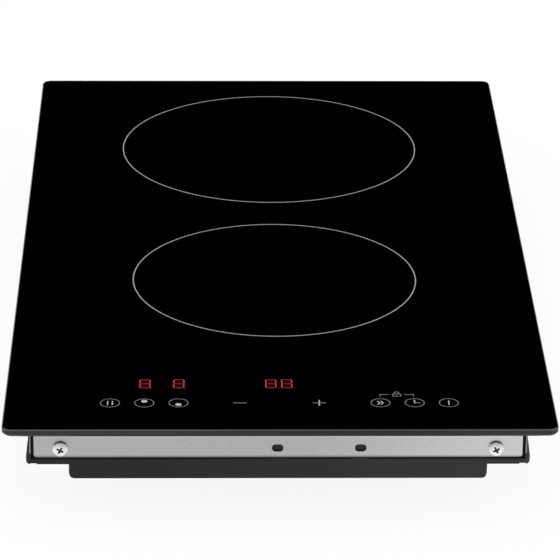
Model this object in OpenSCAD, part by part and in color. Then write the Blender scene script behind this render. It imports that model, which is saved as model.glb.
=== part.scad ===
// Built-in electric induction cooktop with two cooking zones, one behind the other.
// Millimetres. +Z up, +X to the right, the controls face -Y.
// The origin is under the middle of the glass, on the surface that the base tray stands on.

/* [Glass] */
// Width of the glass
glass_w = 288; // [284:1:300]
// Depth of the glass, front to back
glass_d = 520; // [510:1:540]
// Thickness of the glass
glass_t = 4; // [3.5:0.5:5]
// Corner radius of the glass, seen from above
glass_corner_r = 5.5; // [2:0.5:8]
// Width of the ground bevel round the glass
glass_bevel = 0.8; // [0.4:0.1:1.2]

/* [Printing on the glass] */
// Diameter of the rear zone's ring
rear_zone_d = 180; // [170:1:185]
// Diameter of the front zone's ring
front_zone_d = 160; // [150:1:165]
// Distance from the glass's rear edge to the rear zone's centre
rear_zone_inset = 119.4; // [112:0.2:124]
// Distance from the glass's front edge to the front zone's centre
front_zone_inset = 197; // [190:0.5:202]
// Width of the zone rings
zone_line = 0.6; // [0.5:0.1:1.5]
// Thickness of the printed enamel
print_t = 0.1; // [0.05:0.05:0.2]
// Width of the lines of the key symbols
key_line = 0.3; // [0.2:0.1:0.7]
// Width of the bold bars of the key symbols
key_bold = 0.6; // [0.4:0.1:0.9]
// Outer radius of the ringed keys
key_r = 5.15; // [4.5:0.05:6]
// Distance between neighbouring ringed keys
key_pitch = 17.9; // [15:0.1:19]
// Distance from the glass's centre line to the outermost keys
key_outer_x = 88.7; // [84:0.1:92]
// Distance from the glass's centre line to the minus and plus keys
step_key_x = 20.8; // [18:0.1:24]
// Distance from the glass's front edge to the keys
key_inset = 32.6; // [30:0.1:36]
// Distance from the glass's front edge to the displays
display_inset = 56.2; // [52:0.1:58]
// Width of a lit digit
digit_w = 5.8; // [5:0.1:7]
// Height of a lit digit
digit_h = 10.8; // [10:0.1:13]

/* [Body] */
// Height of the whole cooktop without the printing
overall_h = 56; // [54:0.5:64]
// Sideways offset of the body under the glass
body_x = -0.8; // [-1.5:0.1:1.5]
// Distance that the glass reaches past the tray at the front and rear
glass_overhang = 14; // [12:0.5:18]
// Distance that the glass reaches past the tray at the sides
side_overhang = 12.4; // [10:0.2:14]
// Slope of the tray's side walls, in over the full height
wall_flare = 2.6; // [0:0.1:4]
// Wall thickness of the base tray
wall = 2.4; // [2:0.1:3]
// Depth from the glass's top to the underside of the tray's upper tub
tub_drop = 26.5; // [25:0.1:28]
// Width of the pan under the tub
pan_w = 218.6; // [210:0.2:224]
// Depth from the glass's top to the underside of the pan's shallow front
pan_drop = 34.7; // [33:0.1:38]
// Distance from the glass's front edge to the ramp of the deep pan
shallow_d = 68; // [64:1:72]
// Length of the ramp down to the deep pan
ramp_run = 12; // [6:1:20]
// Distance from the glass's rear edge to the pan's rear wall
rear_shelf_d = 74; // [70:1:80]
// Height of the gap between the side walls and the glass
rim_gap = 1; // [0.6:0.1:2]
// Thickness of the sealing tape under the glass edge
gasket_t = 2; // [1.5:0.5:3]
// Width of the sealing tape
gasket_w = 5; // [4:0.5:6]

/* [Mounting rails] */
// Sheet thickness of the steel rails
sheet_t = 1; // [0.8:0.1:1.5]
// Distance from the tray's side to a rail's end
rail_end_inset = 4.3; // [3.5:0.1:8]
// Height of a rail's upright flange
rail_h = 17.4; // [16:0.1:17.6]
// Depth of a rail's top flange
rail_flange = 12; // [10:0.5:12.5]
// Thickness of the silicone between a rail and the glass
bond_t = 1.2; // [0.8:0.1:2]
// Depth from the glass's top to the line of slots and screws
rail_line_drop = 17.2; // [15:0.1:18]
// Length of a mounting slot
slot_w = 6; // [5:0.1:10]
// Height of a mounting slot
slot_h = 4.1; // [3:0.1:5]
// Distance from the body's centre to the first slot
slot_x = -0.4; // [-10:0.1:10]
// Distance between the two slots
slot_pitch = 43.3; // [30:0.1:60]
// Distance from a rail's end to its screw
rail_screw_inset = 13.8; // [10:0.2:20]
// How far the rail screws lie below the line of the slots
rail_screw_drop = 0.3; // [0:0.1:1]

/* [Screws] */
// Shank radius of the large screws
screw_r = 1.9; // [1.5:0.1:2.1]
// Head radius of the large screws
screw_head_r = 4.05; // [3.5:0.05:4.5]
// Head height of the large screws
screw_head_h = 2.8; // [2:0.1:3]
// Length of the large screws under the head
screw_len = 10; // [8:0.5:12]
// Shank radius of the small screws
small_screw_r = 1.25; // [1:0.05:1.4]
// Head radius of the small screws
small_head_r = 2.6; // [2.3:0.1:3]

/* [Coils] */
// Width of the ring of glass between a winding and its zone's printed ring
winding_inset = 12; // [10:0.5:14]
// Inner radius of the windings
winding_bore_r = 22; // [18:0.5:26]
// Diameter of the litz wire
litz_d = 3; // [2.5:0.25:3.5]
// Thickness of the insulating blanket under the glass
blanket_t = 3.5; // [3:0.25:4]
// Thickness of the coil carriers
carrier_t = 2; // [1.5:0.25:2.5]
// Length of a ferrite bar
ferrite_l = 46; // [36:1:46]
// Width of a ferrite bar
ferrite_w = 12; // [8:0.5:13]
// Thickness of a ferrite bar
ferrite_t = 4; // [3:0.25:4.5]
// Thickness of the aluminium plate that carries the coils
plate_t = 1.5; // [1:0.25:2]

/* [Electronics] */
// Thickness of the circuit boards
board_t = 1.6; // [1.2:0.1:2]
// Height of the posts under the power and filter boards
post_h = 6; // [5:0.5:7]
// Distance from the coil plate down to the tallest part on a board
part_drop = 3.3; // [2.5:0.1:4]
// Distance from the coil plate down to the heatsink's fins
fin_drop = 5.3; // [4:0.1:8]
// Distance between the heatsink's fins
fin_pitch = 6; // [5:0.5:8]

/* [Fan] */
// Outer radius of the fan housing
fan_r = 46; // [44:0.5:48]
// Distance from the coil plate down to the fan housing
fan_drop = 3.9; // [2.5:0.1:4.5]
// Radius of the impeller
impeller_r = 36; // [32:0.5:37]
// Number of impeller blades
blade_count = 24; // [12:1:30]
// Radius of the motor shaft
shaft_r = 1.5; // [1:0.1:2]

/* [Terminal box] */
// Width of the terminal box
box_w = 68; // [64:1:70]
// Depth of the terminal box
box_d = 54; // [50:1:54]
// Thickness of the box's walls
box_wall = 2.2; // [1.8:0.1:2.6]
// Radius of the mains cable's inlet
inlet_r = 5; // [4:0.25:6]
// Radius of the door's hinge pin
hinge_pin_r = 1.2; // [1:0.1:1.4]

/* [Hidden] */
$fn = 64;

// Clearances
fit = 0.1;          // between a piece and the pocket or hole that locates it
run_fit = 0.06;     // between a shaft or pin and what turns on it
screw_fit = 0.3;    // between a screw's shank and the sheet or board it passes through
pilot_fit = 0.02;   // between a screw's shank and the boss it is driven into
cut = 1;            // how far a cutting solid runs past what it cuts

// Heights, from the surface that the tray stands on
glass_z = overall_h - glass_t;              // underside of the glass
tub_z = overall_h - tub_drop;               // underside of the tub
pan_z = overall_h - pan_drop;               // underside of the shallow pan
rim_z = glass_z - rim_gap;                  // top of the side walls
tub_floor_z = tub_z + wall;
pan_floor_z = pan_z + wall;
rail_top_z = glass_z - bond_t;
rail_z = rail_top_z - rail_h;               // lower edge of the rails
rail_line_z = overall_h - rail_line_drop;
rail_screw_z = rail_line_z - rail_screw_drop;
ledge_gap = 0.6;                            // between a rail's lower edge and the tray's ledge
ledge_z = rail_z - ledge_gap;

// Plan
glass_front = -glass_d / 2;
glass_rear = glass_d / 2;
tray_w = glass_w - 2 * side_overhang;
tray_d = glass_d - 2 * glass_overhang;
tray_front = -tray_d / 2;
tray_rear = tray_d / 2;
deep_front = glass_front + shallow_d;       // top of the ramp
pan_rear = glass_rear - rear_shelf_d;
tray_r = 3;                                 // corner radius of the tub, seen from above
pan_r = 2;                                  // corner radius of the pan, seen from above
pan_edge_r = 3;                             // radius along the pan's lower side edges
foot_notch_w = 3.4;                         // groove along the tub's lower edges
foot_notch_h = 0.5;
foot_w = 2.3;                               // width of the foot outside the groove
tub_edge_r = 1.4;                           // rounding along the tub's lower side edges
gasket_inset = 5;                           // from the glass's edge to the tape
rail_recess = sheet_t + 0.2;                // depth of the recess that a rail lies in
rail_end_gap = 1.5;                         // between a rail's end and the recess's end
rail_corner_r = 1.5;
rail_w = tray_w - 2 * rail_end_inset;
rail_screw_x = rail_w / 2 - rail_screw_inset;
rail_screw_turn = 28;                       // how far the screws' crosses are turned
flange_room = 2;                            // between a rail's flange and the tray behind it
flange_gap = 0.3;                           // and the tray under it
bond_inset = 2;                             // from a flange's edges to the silicone
slot_xs = [slot_x, slot_x + slot_pitch];
boss_r = 4;
boss_l = 9;
vent_count = 9;                             // slots in a row of the pan's floor vents
vent_pitch = 8;
vent_l = 24;
vent_x = pan_w / 2 - vent_l;
vent_y = -100;
post_r = 3;                                 // posts under the boards
fan_post_r = 3.5;
plate_post_r = 4.5;
small_depth = 6;                            // how deep a small screw goes under its head

// Zones and coils
rear_zone_y = glass_rear - rear_zone_inset;
front_zone_y = glass_front + front_zone_inset;
rear_winding_r = rear_zone_d / 2 - winding_inset;
front_winding_r = front_zone_d / 2 - winding_inset;
blanket_z = glass_z - blanket_t;            // underside of the blanket
winding_z = blanket_z - litz_d;             // underside of the winding
carrier_z = winding_z - carrier_t;          // underside of the carrier's disc
ferrite_z = carrier_z - ferrite_t;
carrier_lip = 2;                            // width of the rim round a winding
plate_z = tub_floor_z + 0.4;
plate_top = plate_z + plate_t;
spring_wire = 1;
spring_r = 3.6;                             // middle radius of a coil carrier's spring
spring_angles = [45, 135, 225, 315];
spring_inset = 12;                          // from a winding's rim to its springs
spring_seat_wall = 1.5;
ferrite_count = 8;
ferrite_in_r = winding_bore_r + 4;
pocket_wall = 1;
sensor_r = 5.5;
sensor_cup_r = sensor_r + 3;
sensor_spring_wire = 0.6;
sensor_cup_t = 0.8;
sensor_h = 7.5;
sensor_z = glass_z - sensor_h;
notch_w = 30;                               // opening in a carrier's rim for its leads
plate_side_gap = 6.6;                       // from the tray's side to the plate
plate_w = tray_w - 2 * plate_side_gap;
plate_corner_r = 6;
plate_front = deep_front + ramp_run + 4;
plate_rear = tray_rear - 18;
plate_screw_x = pan_w / 2 - 11.3;           // inside the pan's side walls
plate_screw_front = plate_front + 26;
plate_screw_rear = pan_rear - 10;
plate_screw_ys = [plate_screw_front, (plate_screw_front + plate_screw_rear) / 2, plate_screw_rear];
sensor_hole_r = 10;
sensor_tip_h = 0.6;                         // height of the sensor's narrower tip

// Controls
key_y = glass_front + key_inset;
lock_rise = 10.3;                           // from the keys' line to the middle of the lock
display_y = glass_front + display_inset;
display_x = key_outer_x - key_pitch;        // first display, above its zone's key
digit_pitch = 8.4;                          // between the two digits of the timer display
digit_line = 0.8;
digit_gap = 0.3;
zone_point = [digit_w / 2 + 0.6, -digit_h / 2 - 0.4];          // a zone digit's point
timer_point = [digit_w / 2 + 1.2, (digit_line - digit_h) / 2]; // a timer digit's point
key_xs = [-key_outer_x, -key_outer_x + key_pitch, -key_outer_x + 2 * key_pitch,
    key_outer_x - 2 * key_pitch, key_outer_x - key_pitch, key_outer_x];
touch_xs = concat(key_xs, [-step_key_x, step_key_x]);
digit_xs = [-display_x, -display_x + key_pitch, -digit_pitch / 2, digit_pitch / 2];
board_gap = 4.4;                            // between the control board and the glass
control_z = glass_z - board_gap - board_t;
control_w = 2 * key_outer_x + 30;
control_front = key_y - 8;
control_rear = display_y + 12;
control_d = control_rear - control_front;
carrier_frame_t = 3;
control_bar_w = 6;                          // width of the carrier's long bars
control_leg_x = key_outer_x - key_pitch / 2;            // between the two outer keys
control_end_w = control_w / 2 - control_leg_x + 6;      // width of the carrier's end bars
control_leg_ys = [control_front + 6, control_rear - 6];
control_leg_r = 4;
control_chips = [[-50, 9, 6], [-14, 12, 12], [30, 8, 6]];   // x, width and depth of each chip
chip_t = 1.2;
chip_inset = 14;                            // from the board's front edge to the chips
touch_spring_r = 3;
touch_wire = 0.5;
touch_turns = 4;
module_side = 2;                            // display module's edge beside a digit
module_h = board_gap - 0.4;

// Boards in the deep pan
board_z = wall + post_h;
board_top = board_z + board_t;
part_room = plate_z - part_drop - board_top;    // height of the tallest part on a board
power_w = 184;
power_front = deep_front + ramp_run + 10;
power_rear = -6;
board_screw_inset = 5;
filter_x0 = 14;
filter_x1 = 92;
filter_front = 22;
filter_rear = pan_rear - 14;

// Heatsink and the transistors under it
case_t = 5;                                 // thickness of a power transistor's case
case_w = 16;
case_l = 21;
case_pitch = 23;
case_count = 4;                             // in each row
case_inset = 10;                            // from the heatsink's side to the first case
case_rows = [14, 60];                       // from the heatsink's front edge to each row
sink_x0 = -88;
sink_w = 100;
sink_front = -122;
sink_d = 96;
sink_base_t = 3;
sink_z = board_top + case_t;
sink_foot_w = 4;
fin_t = 1.6;
fin_h = plate_z - fin_drop - sink_z - sink_base_t;

// Parts on the power board
film_x = 18;
film_y = power_front + 26;
film_w = 34;
film_d = 13;
film_h = part_room - 2;
film_pitch = 17;
film_count = 4;
can_r = 7;                                  // electrolytic capacitors
can_h = part_room;
can_x = 70;
can_y = film_y + 4;
can_step = 7;                               // how far to the side the second can stands
transformer_x = 60;
transformer_y = power_front + 64;
transformer_w = 20;
transformer_d = 18;
yoke_t = 4;
bobbin_w = 14;
bobbin_h = part_room - 1 - 2 * yoke_t;
driver_x = 20;                              // driver chip
driver_y = power_front + 8;
driver_w = 12;
driver_t = 1.6;

// Parts on the filter board
choke_x = 66;
choke_y = filter_front + 24;
choke_r = 17;
choke_in_r = 9;
choke_h = 11;
choke_lift = 2.2;
choke_turn = 1.6;                           // width of a turn of the choke's winding
choke_turn_angle = 15;
x_cap_x = 50;                               // capacitors across the line
x_cap_y = filter_rear - 72;
x_cap_w = 32;
x_cap_d = 13;
x_cap_h = part_room - 1;
small_cap_w = 26;
small_cap_d = 10;
small_cap_h = part_room - 4;
x_cap_pitch = 18;
y_cap_x = 28;                               // disc capacitors to earth
y_cap_y = filter_rear - 78;
y_cap_r = 5;
y_cap_t = 4;
y_cap_pitch = 12;
fuse_x = 30;
fuse_y = filter_rear - 50;
fuse_l = 20;
fuse_r = 2.6;
fuse_cap_l = 5;
fuse_cap_t = 0.3;
fuse_z = board_top + 4.5;

// Fan
fan_x = -44;
fan_y = 56;
fan_wall = 1.8;
fan_z = wall;
fan_top = plate_z - fan_drop;
fan_h = fan_top - fan_z;
duct_w = 50;
duct_x0 = fan_x - fan_r;
duct_front = 2;
eye_r = 30;                                 // radius of the fan's air inlet
grille_pitch = 7;
grille_slot = 4;
fan_ear_angles = [20, 140];
fan_ear_r = fan_r + 4.5;
fan_ear_w = 8;
fan_ear_t = 2.5;
fan_ear_z = fan_z + 6;
fan_ear_root = 4;                           // how far an ear starts inside the housing's outer face
fan_gap = 1.2;                              // between the impeller and the housing
motor_flange_t = 2;
motor_flange_r = 14;
motor_z = fan_top - fan_wall - motor_flange_t;
stator_r = 9.5;
hub_r = 13.5;
hub_wall = 2;
rotor_z = fan_z + fan_wall + fan_gap;
rotor_top = motor_z - fan_gap - 0.5;
hub_floor_z = rotor_z + 4;
hub_floor_t = 2;
stator_z = hub_floor_z + hub_floor_t + 1.5;
collar_r = 2.6;
collar_h = 1;
collar_gap = 0.3;
shaft_z = hub_floor_z - collar_gap - collar_h;
blade_l = 9;
blade_t = 1;
blade_lean = 35;
disc_t = 1.5;                               // impeller's back disc and front ring
rim_w = 3;

// Terminal box, in the body's own x
box_x0 = 36;
box_x1 = box_x0 + box_w;
box_y0 = pan_rear;
box_y1 = box_y0 + box_d;
box_z0 = 2;
box_z1 = tub_z;
door_t = 2;
door_gap = 0.3;
door_edge_gap = 0.6;                        // from the door's edges to the box's
catch_gap = 1.4;
knuckle_r = 2.6;
knuckle_gap = 0.4;
hinge_x = box_x0 + 1;
hinge_y = box_y1 + knuckle_r + knuckle_gap;
hinge_z0 = box_z0 + 3;
hinge_z1 = box_z1 - 3;
ear_h = 4.2;
catch_w = 1.6;                              // the door's snap catch
catch_reach = 6;
catch_z0 = box_z0 + 10;
catch_z1 = catch_z0 + 8;
grip_w = 3;                                 // finger rib on the door
grip_t = 1.5;
block_w = 48;
block_d = 18;
block_h = 15;
block_x0 = box_x0 + 8;
block_y0 = box_y0 + box_wall + 7;
block_z0 = box_z0 + box_wall;
pole_count = 5;
pole_pitch = block_w / pole_count;
block_y1 = block_y0 + block_d;
block_rib = 1;
clamp_r = 2.2;                              // wire holes of the block
clamp_z = block_z0 + 4;
clamp_depth = 10;
clamp_head_r = 2.4;
clamp_head_h = 1.8;
clamp_screw_l = 5;
clamp_head_depth = 7;
screw_row_z = block_z0 + 10.5;
inlet_y = box_y1 - 18;
inlet_z = 12;
box_screw_xs = [box_x0 + 8, box_x1 - 8];
box_screw_y = box_y1 - 8;
box_boss_h = 11;
lead_hole_x = box_x0 + 32;
grommet_r = 8;
grommet_bore_r = 6.6;
grommet_flange_t = 1.2;
grommet_flange_r = 10;
grommet_gap = 0.3;
lead_hole_z = box_z1 - box_wall - grommet_flange_r - grommet_gap;
lead_d = 2.8;
lead_pitch = 4;
lead_arch = 4;

// Routes of the inner leads, worked out from what they join
lead_slot = 8;                              // width of the coil plate's slots for the leads
lead_run_z = plate_z - 5;                   // height at which the coils' leads run under the plate
lead_bend = 2;                              // how far before a corner a lead starts to bend
lead_gap = 2;                               // from a carrier's rim to the middle of its leads
rear_lead_xs = [18, 28];
front_lead_ys = [front_zone_y - 5, front_zone_y + 5];
lead_z = winding_z + litz_d / 2;
rear_tab_y = -16;
front_tab_x = 88;
tab_w = 3.2;
tab_h = 6;
mains_tab_y = filter_rear - 10;
front_lead_x = front_winding_r + carrier_lip + lead_gap;
rear_lead_y = rear_zone_y - rear_winding_r - carrier_lip - lead_gap;

/* ---- Small shapes that repeat ---- */

module rounded_rect(w, d, r) {
    square([w - 2 * r, d], center = true);
    square([w, d - 2 * r], center = true);
    for (sx = [-1, 1], sy = [-1, 1])
        translate([sx * (w / 2 - r), sy * (d / 2 - r)]) circle(r);
}

// A plate with square-cut chamfers round its top and bottom
module bevelled_plate(w, d, t, r, c) {
    intersection() {
        linear_extrude(t) rounded_rect(w, d, r);
        rotate([90, 0, 0]) translate([0, 0, -d]) linear_extrude(2 * d) bevelled_section(w, t, c);
        rotate([90, 0, 90]) translate([0, 0, -w]) linear_extrude(2 * w) bevelled_section(d, t, c);
    }
}

module bevelled_section(w, t, c) {
    polygon([
        [-w / 2 + c, 0], [w / 2 - c, 0], [w / 2, c], [w / 2, t - c],
        [w / 2 - c, t], [-w / 2 + c, t], [-w / 2, t - c], [-w / 2, c]
    ]);
}

module ring(r_out, r_in, h) {
    difference() {
        cylinder(r = r_out, h = h);
        translate([0, 0, -cut]) cylinder(r = r_in, h = h + 2 * cut);
    }
}

// A box given by its corners
module box(a, b) {
    translate(a) cube([b[0] - a[0], b[1] - a[1], b[2] - a[2]]);
}

// A cylinder along Y, and one along X
module rod_y(x, y, z, r, l) {
    translate([x, y, z]) rotate([-90, 0, 0]) cylinder(r = r, h = l);
}

module rod_x(x, y, z, r, l) {
    translate([x, y, z]) rotate([0, 90, 0]) cylinder(r = r, h = l);
}

// A pan-head screw with a cross recess: the head stands on z = 0 and the shank points down
module screw(r, head_r, head_h, len) {
    cross_w = head_r * 0.28;
    cross_l = head_r * 1.1;
    cross_d = head_h * 0.55;
    rim_h = head_h * 0.5;
    difference() {
        union() {
            translate([0, 0, -len]) cylinder(r = r, h = len + head_h / 2);
            cylinder(r = head_r, h = rim_h);
            translate([0, 0, rim_h]) cylinder(r1 = head_r, r2 = head_r * 0.55, h = head_h - rim_h);
        }
        for (a = [0, 90])
            rotate(a) translate([-cross_l / 2, -cross_w / 2, head_h - cross_d])
                cube([cross_l, cross_w, cross_d + cut]);
    }
}

module large_screw(len = screw_len) {
    screw(screw_r, screw_head_r, screw_head_h, len);
}

module small_screw(len) {
    screw(small_screw_r, small_head_r, small_head_r * 0.7, len);
}

// The cooktop's rear end, or its front end as the mirror image of the rear
module at_end(side) {
    if (side > 0) children();
    else mirror([0, 1, 0]) children();
}

function unit(v) = v / norm(v);

// Ring of points round p, square to direction d
function section_ring(p, d, r, sides) =
    let (side = unit(abs(d[2]) > 0.9 ? cross(d, [0, 1, 0]) : cross(d, [0, 0, 1])),
         up = cross(side, d))
    [for (k = [0:sides - 1]) p + r * (cos(360 * k / sides) * side + sin(360 * k / sides) * up)];

// Direction of a route at its point i
function route_dir(pts, i) =
    unit(pts[min(i + 1, len(pts) - 1)] - pts[max(i - 1, 0)]);

// A round wire swept along a route
module wire(pts, d, sides = 8) {
    n = len(pts);
    rings = [for (i = [0:n - 1]) each section_ring(pts[i], route_dir(pts, i), d / 2, sides)];
    walls = [for (i = [0:n - 2], k = [0:sides - 1])
        let (a = i * sides + k, b = i * sides + (k + 1) % sides)
        [a, b, b + sides, a + sides]];
    first = [[for (k = [sides - 1:-1:0]) k]];
    last = [[for (k = [0:sides - 1]) (n - 1) * sides + k]];
    polyhedron(points = rings, faces = concat(first, walls, last), convexity = 6);
}

// Points of a bend between two straight runs that meet at b
function bend(a, b, c, r) =
    let (p = b + r * unit(a - b), q = b + r * unit(c - b))
    [for (t = [0:0.25:1]) (1 - t) * (1 - t) * p + 2 * t * (1 - t) * b + t * t * q];

// A route with every inner corner rounded
function rounded_route(pts, r) =
    concat([pts[0]],
        [for (i = [1:len(pts) - 2]) each bend(pts[i - 1], pts[i], pts[i + 1], r)],
        [pts[len(pts) - 1]]);

// A helical spring with flat end turns, standing on z = 0
module spring(r, wire_d, h, turns, steps = 12) {
    last = turns * steps;
    rise = h - wire_d;
    pts = [for (i = [0:last])
        let (f = min(1, max(0, (i - steps / 2) / (last - steps))))
        [r * cos(360 * i / steps), r * sin(360 * i / steps), wire_d / 2 + rise * f]];
    wire(pts, wire_d * 0.96, 6);
}

/* ---- Glass, its printing and its seals ---- */

module glass_plate() {
    color([0.01, 0.01, 0.012])
        translate([0, 0, glass_z]) bevelled_plate(glass_w, glass_d, glass_t, glass_corner_r, glass_bevel);
}

// A flat mark on the glass
module printed() {
    translate([0, 0, overall_h]) linear_extrude(print_t) children();
}

module line_ring(r, w) {
    difference() {
        circle(r);
        circle(r - w);
    }
}

module zone_rings() {
    color([0.45, 0.45, 0.46]) printed() {
        translate([0, rear_zone_y]) line_ring(rear_zone_d / 2, zone_line, $fn = 128);
        translate([0, front_zone_y]) line_ring(front_zone_d / 2, zone_line, $fn = 128);
    }
}

module bar(w, h) {
    square([w, h], center = true);
}

module pause_symbol() {
    for (s = [-1, 1]) translate([s * 1.25, 0]) bar(key_bold, 4.8);
}

module zone_symbol(side) {
    translate([0, side * 2]) circle(1.65);
}

// Two chevrons for the boost key
module boost_symbol() {
    for (x = [-1, 0.8], s = [-1, 1]) translate([x, s]) rotate(-s * 56) bar(2.6, key_bold);
}

module timer_symbol() {
    translate([0, 1.7]) bar(key_bold, 3.8);
    translate([1.4, 0]) bar(3.2, key_line);
}

module power_symbol() {
    bar(key_bold, 5.4);
}

module minus_symbol() {
    bar(7, key_line);
}

module plus_symbol() {
    bar(7, key_line);
    bar(key_bold, 7);
}

// A padlock, and the bracket that ties it to the boost and timer keys
module lock_symbol() {
    drop = 2.6;
    reach = 5;
    body_w = 4.4;
    body_h = 3.2;
    body_y = -0.8;
    shackle_r = 1.3;
    shackle_h = 1.2;
    for (s = [-1, 1]) {
        translate([s * (key_pitch / 2 - key_line / 2), -drop / 2]) bar(key_line, drop);
        translate([s * (key_pitch - reach) / 2, -key_line / 2]) bar(reach, key_line);
        translate([s * (shackle_r - key_line / 2), body_y + (body_h + shackle_h) / 2])
            bar(key_line, shackle_h + key_line);
    }
    translate([0, body_y]) {
        difference() {
            bar(body_w, body_h);
            bar(body_w - 2 * key_line, body_h - 2 * key_line);
        }
        circle(key_bold / 2);
        translate([0, body_h / 2 + shackle_h]) intersection() {
            line_ring(shackle_r, key_line);
            translate([0, shackle_r]) bar(2 * shackle_r, 2 * shackle_r);
        }
    }
}

module control_marks() {
    lock_y = key_y + lock_rise;
    color([0.55, 0.55, 0.56]) printed() {
        for (x = key_xs) translate([x, key_y]) line_ring(key_r, key_line);
        translate([key_xs[0], key_y]) pause_symbol();
        translate([key_xs[1], key_y]) zone_symbol(1);
        translate([key_xs[2], key_y]) zone_symbol(-1);
        translate([-step_key_x, key_y]) minus_symbol();
        translate([step_key_x, key_y]) plus_symbol();
        translate([key_xs[3], key_y]) boost_symbol();
        translate([key_xs[4], key_y]) timer_symbol();
        translate([key_xs[5], key_y]) power_symbol();
        translate([(key_xs[3] + key_xs[4]) / 2, lock_y]) lock_symbol();
    }
}

// A segment of a digit, pointed at both ends
module lit_bar(l) {
    h = digit_line / 2;
    polygon([[-l / 2, 0], [h - l / 2, h], [l / 2 - h, h], [l / 2, 0], [l / 2 - h, -h], [h - l / 2, -h]]);
}

// A seven-segment digit with its point at p
module digit(p) {
    half_w = (digit_w - digit_line) / 2;
    half_h = (digit_h - digit_line) / 2;
    for (y = [-half_h, 0, half_h]) translate([0, y]) lit_bar(2 * (half_w - digit_gap));
    for (sx = [-1, 1], sy = [-1, 1])
        translate([sx * half_w, sy * half_h / 2]) rotate(90) lit_bar(half_h - 2 * digit_gap);
    translate(p) circle(digit_line / 2);
}

module display_digits() {
    color([0.9, 0.08, 0.05]) printed() for (i = [0:3])
        translate([digit_xs[i], display_y]) digit(i < 2 ? zone_point : timer_point);
}

module glass_gasket() {
    hole = 2 * (gasket_inset + gasket_w);
    color([0.12, 0.12, 0.12]) translate([0, 0, glass_z - gasket_t]) linear_extrude(gasket_t)
        difference() {
            rounded_rect(glass_w - 2 * gasket_inset, glass_d - 2 * gasket_inset, glass_corner_r);
            square([glass_w - hole, glass_d - hole], center = true);
        }
}

module glass_bond() {
    bead_d = rail_flange - 2 * bond_inset;
    color([0.2, 0.2, 0.2]) for (side = [-1, 1]) at_end(side)
        translate([body_x - rail_screw_x, tray_rear - bond_inset - bead_d, rail_top_z])
            cube([2 * rail_screw_x, bead_d, bond_t]);
}

/* ---- Steel rails ---- */

// Outline of a rail's upright flange, with its lower corners rounded
module rail_face() {
    difference() {
        union() {
            translate([-rail_w / 2, rail_corner_r]) square([rail_w, rail_h - rail_corner_r]);
            translate([-rail_w / 2 + rail_corner_r, 0]) square([rail_w - 2 * rail_corner_r, rail_h]);
            for (s = [-1, 1]) translate([s * (rail_w / 2 - rail_corner_r), rail_corner_r])
                circle(rail_corner_r);
        }
        for (x = slot_xs) translate([x, rail_line_z - rail_z]) slot_outline(slot_w, slot_h);
        for (s = [-1, 1]) translate([s * rail_screw_x, rail_screw_z - rail_z])
            circle(screw_r + screw_fit);
    }
}

module slot_outline(w, h) {
    square([w - h, h], center = true);
    for (s = [-1, 1]) translate([s * (w - h) / 2, 0]) circle(h / 2);
}

// A rail with its upright flange's outer face on y = 0
module rail() {
    translate([0, sheet_t, 0]) rotate([90, 0, 0]) linear_extrude(sheet_t) rail_face();
    translate([-rail_w / 2, 0, rail_h - sheet_t]) cube([rail_w, rail_flange, sheet_t]);
}

module front_rail() {
    color([0.72, 0.72, 0.71]) translate([body_x, tray_front, rail_z]) rail();
}

module rear_rail() {
    color([0.72, 0.72, 0.71]) translate([body_x, tray_rear, rail_z]) mirror([0, 1, 0]) rail();
}

module rail_screws() {
    color([0.85, 0.86, 0.88]) for (sx = [-1, 1], sy = [-1, 1])
        translate([body_x + sx * rail_screw_x, sy * tray_rear, rail_screw_z])
            rotate([-sy * 90, 0, 0]) rotate(sx * rail_screw_turn) large_screw();
}

/* ---- Base tray ---- */

// Front view of the tub, t inside its outer face, from z0 up to z1
module tub_section(t, z0, z1) {
    half = tray_w / 2 - t;
    lean = wall_flare * (z1 - ledge_z) / (rim_z - ledge_z);
    edge = max(0.4, tub_edge_r - t);
    polygon([
        [-half + edge, z0], [half - edge, z0], [half - edge * 0.3, z0 + edge * 0.3], [half, z0 + edge],
        [half, ledge_z], [half - lean, z1],
        [-half + lean, z1], [-half, ledge_z], [-half, z0 + edge], [-half + edge * 0.3, z0 + edge * 0.3]
    ]);
}

// Side view of the pan, t inside its outer face
module pan_side(t, z1) {
    angle = atan2(pan_z, ramp_run);
    shift = t * tan(angle / 2);
    polygon([
        [tray_front + t, z1], [tray_front + t, pan_z + t], [deep_front + shift, pan_z + t],
        [deep_front + ramp_run + shift, t], [pan_rear - t, t], [pan_rear - t, z1]
    ]);
}

// Front view of the pan, t inside its outer face
module pan_section(t, z0, z1) {
    r = max(0.6, pan_edge_r - t);
    half = pan_w / 2 - t;
    translate([-half, z0 + t + r]) square([2 * half, z1 - z0 - t - r]);
    translate([-half + r, z0 + t]) square([2 * half - 2 * r, r * 2]);
    for (s = [-1, 1]) translate([s * (half - r), z0 + t + r]) circle(r);
}

module extrude_y(y0, y1) {
    translate([0, y1, 0]) rotate([90, 0, 0]) linear_extrude(y1 - y0) children();
}

module extrude_x(x0, x1) {
    translate([x0, 0, 0]) rotate([90, 0, 90]) linear_extrude(x1 - x0) children();
}

module tub_solid(t, z0, z1) {
    intersection() {
        extrude_y(tray_front + t, tray_rear - t) tub_section(t, z0, z1);
        translate([0, 0, z0]) linear_extrude(z1 - z0)
            rounded_rect(tray_w - 2 * t, tray_d - 2 * t, max(0.6, tray_r - t));
    }
}

// The pan is a shallow part that runs to the front and a deep part behind the ramp
module pan_solid(t, z1) {
    intersection() {
        extrude_x(-pan_w, pan_w) pan_side(t, z1);
        union() {
            extrude_y(tray_front, deep_front + ramp_run / 2) pan_section(t, pan_z, z1);
            extrude_y(deep_front, tray_rear) pan_section(t, 0, z1);
        }
        translate([0, (tray_front + pan_rear) / 2, 0]) linear_extrude(z1)
            rounded_rect(pan_w - 2 * t, pan_rear - tray_front - 2 * t, max(0.6, pan_r - t));
    }
}

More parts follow.
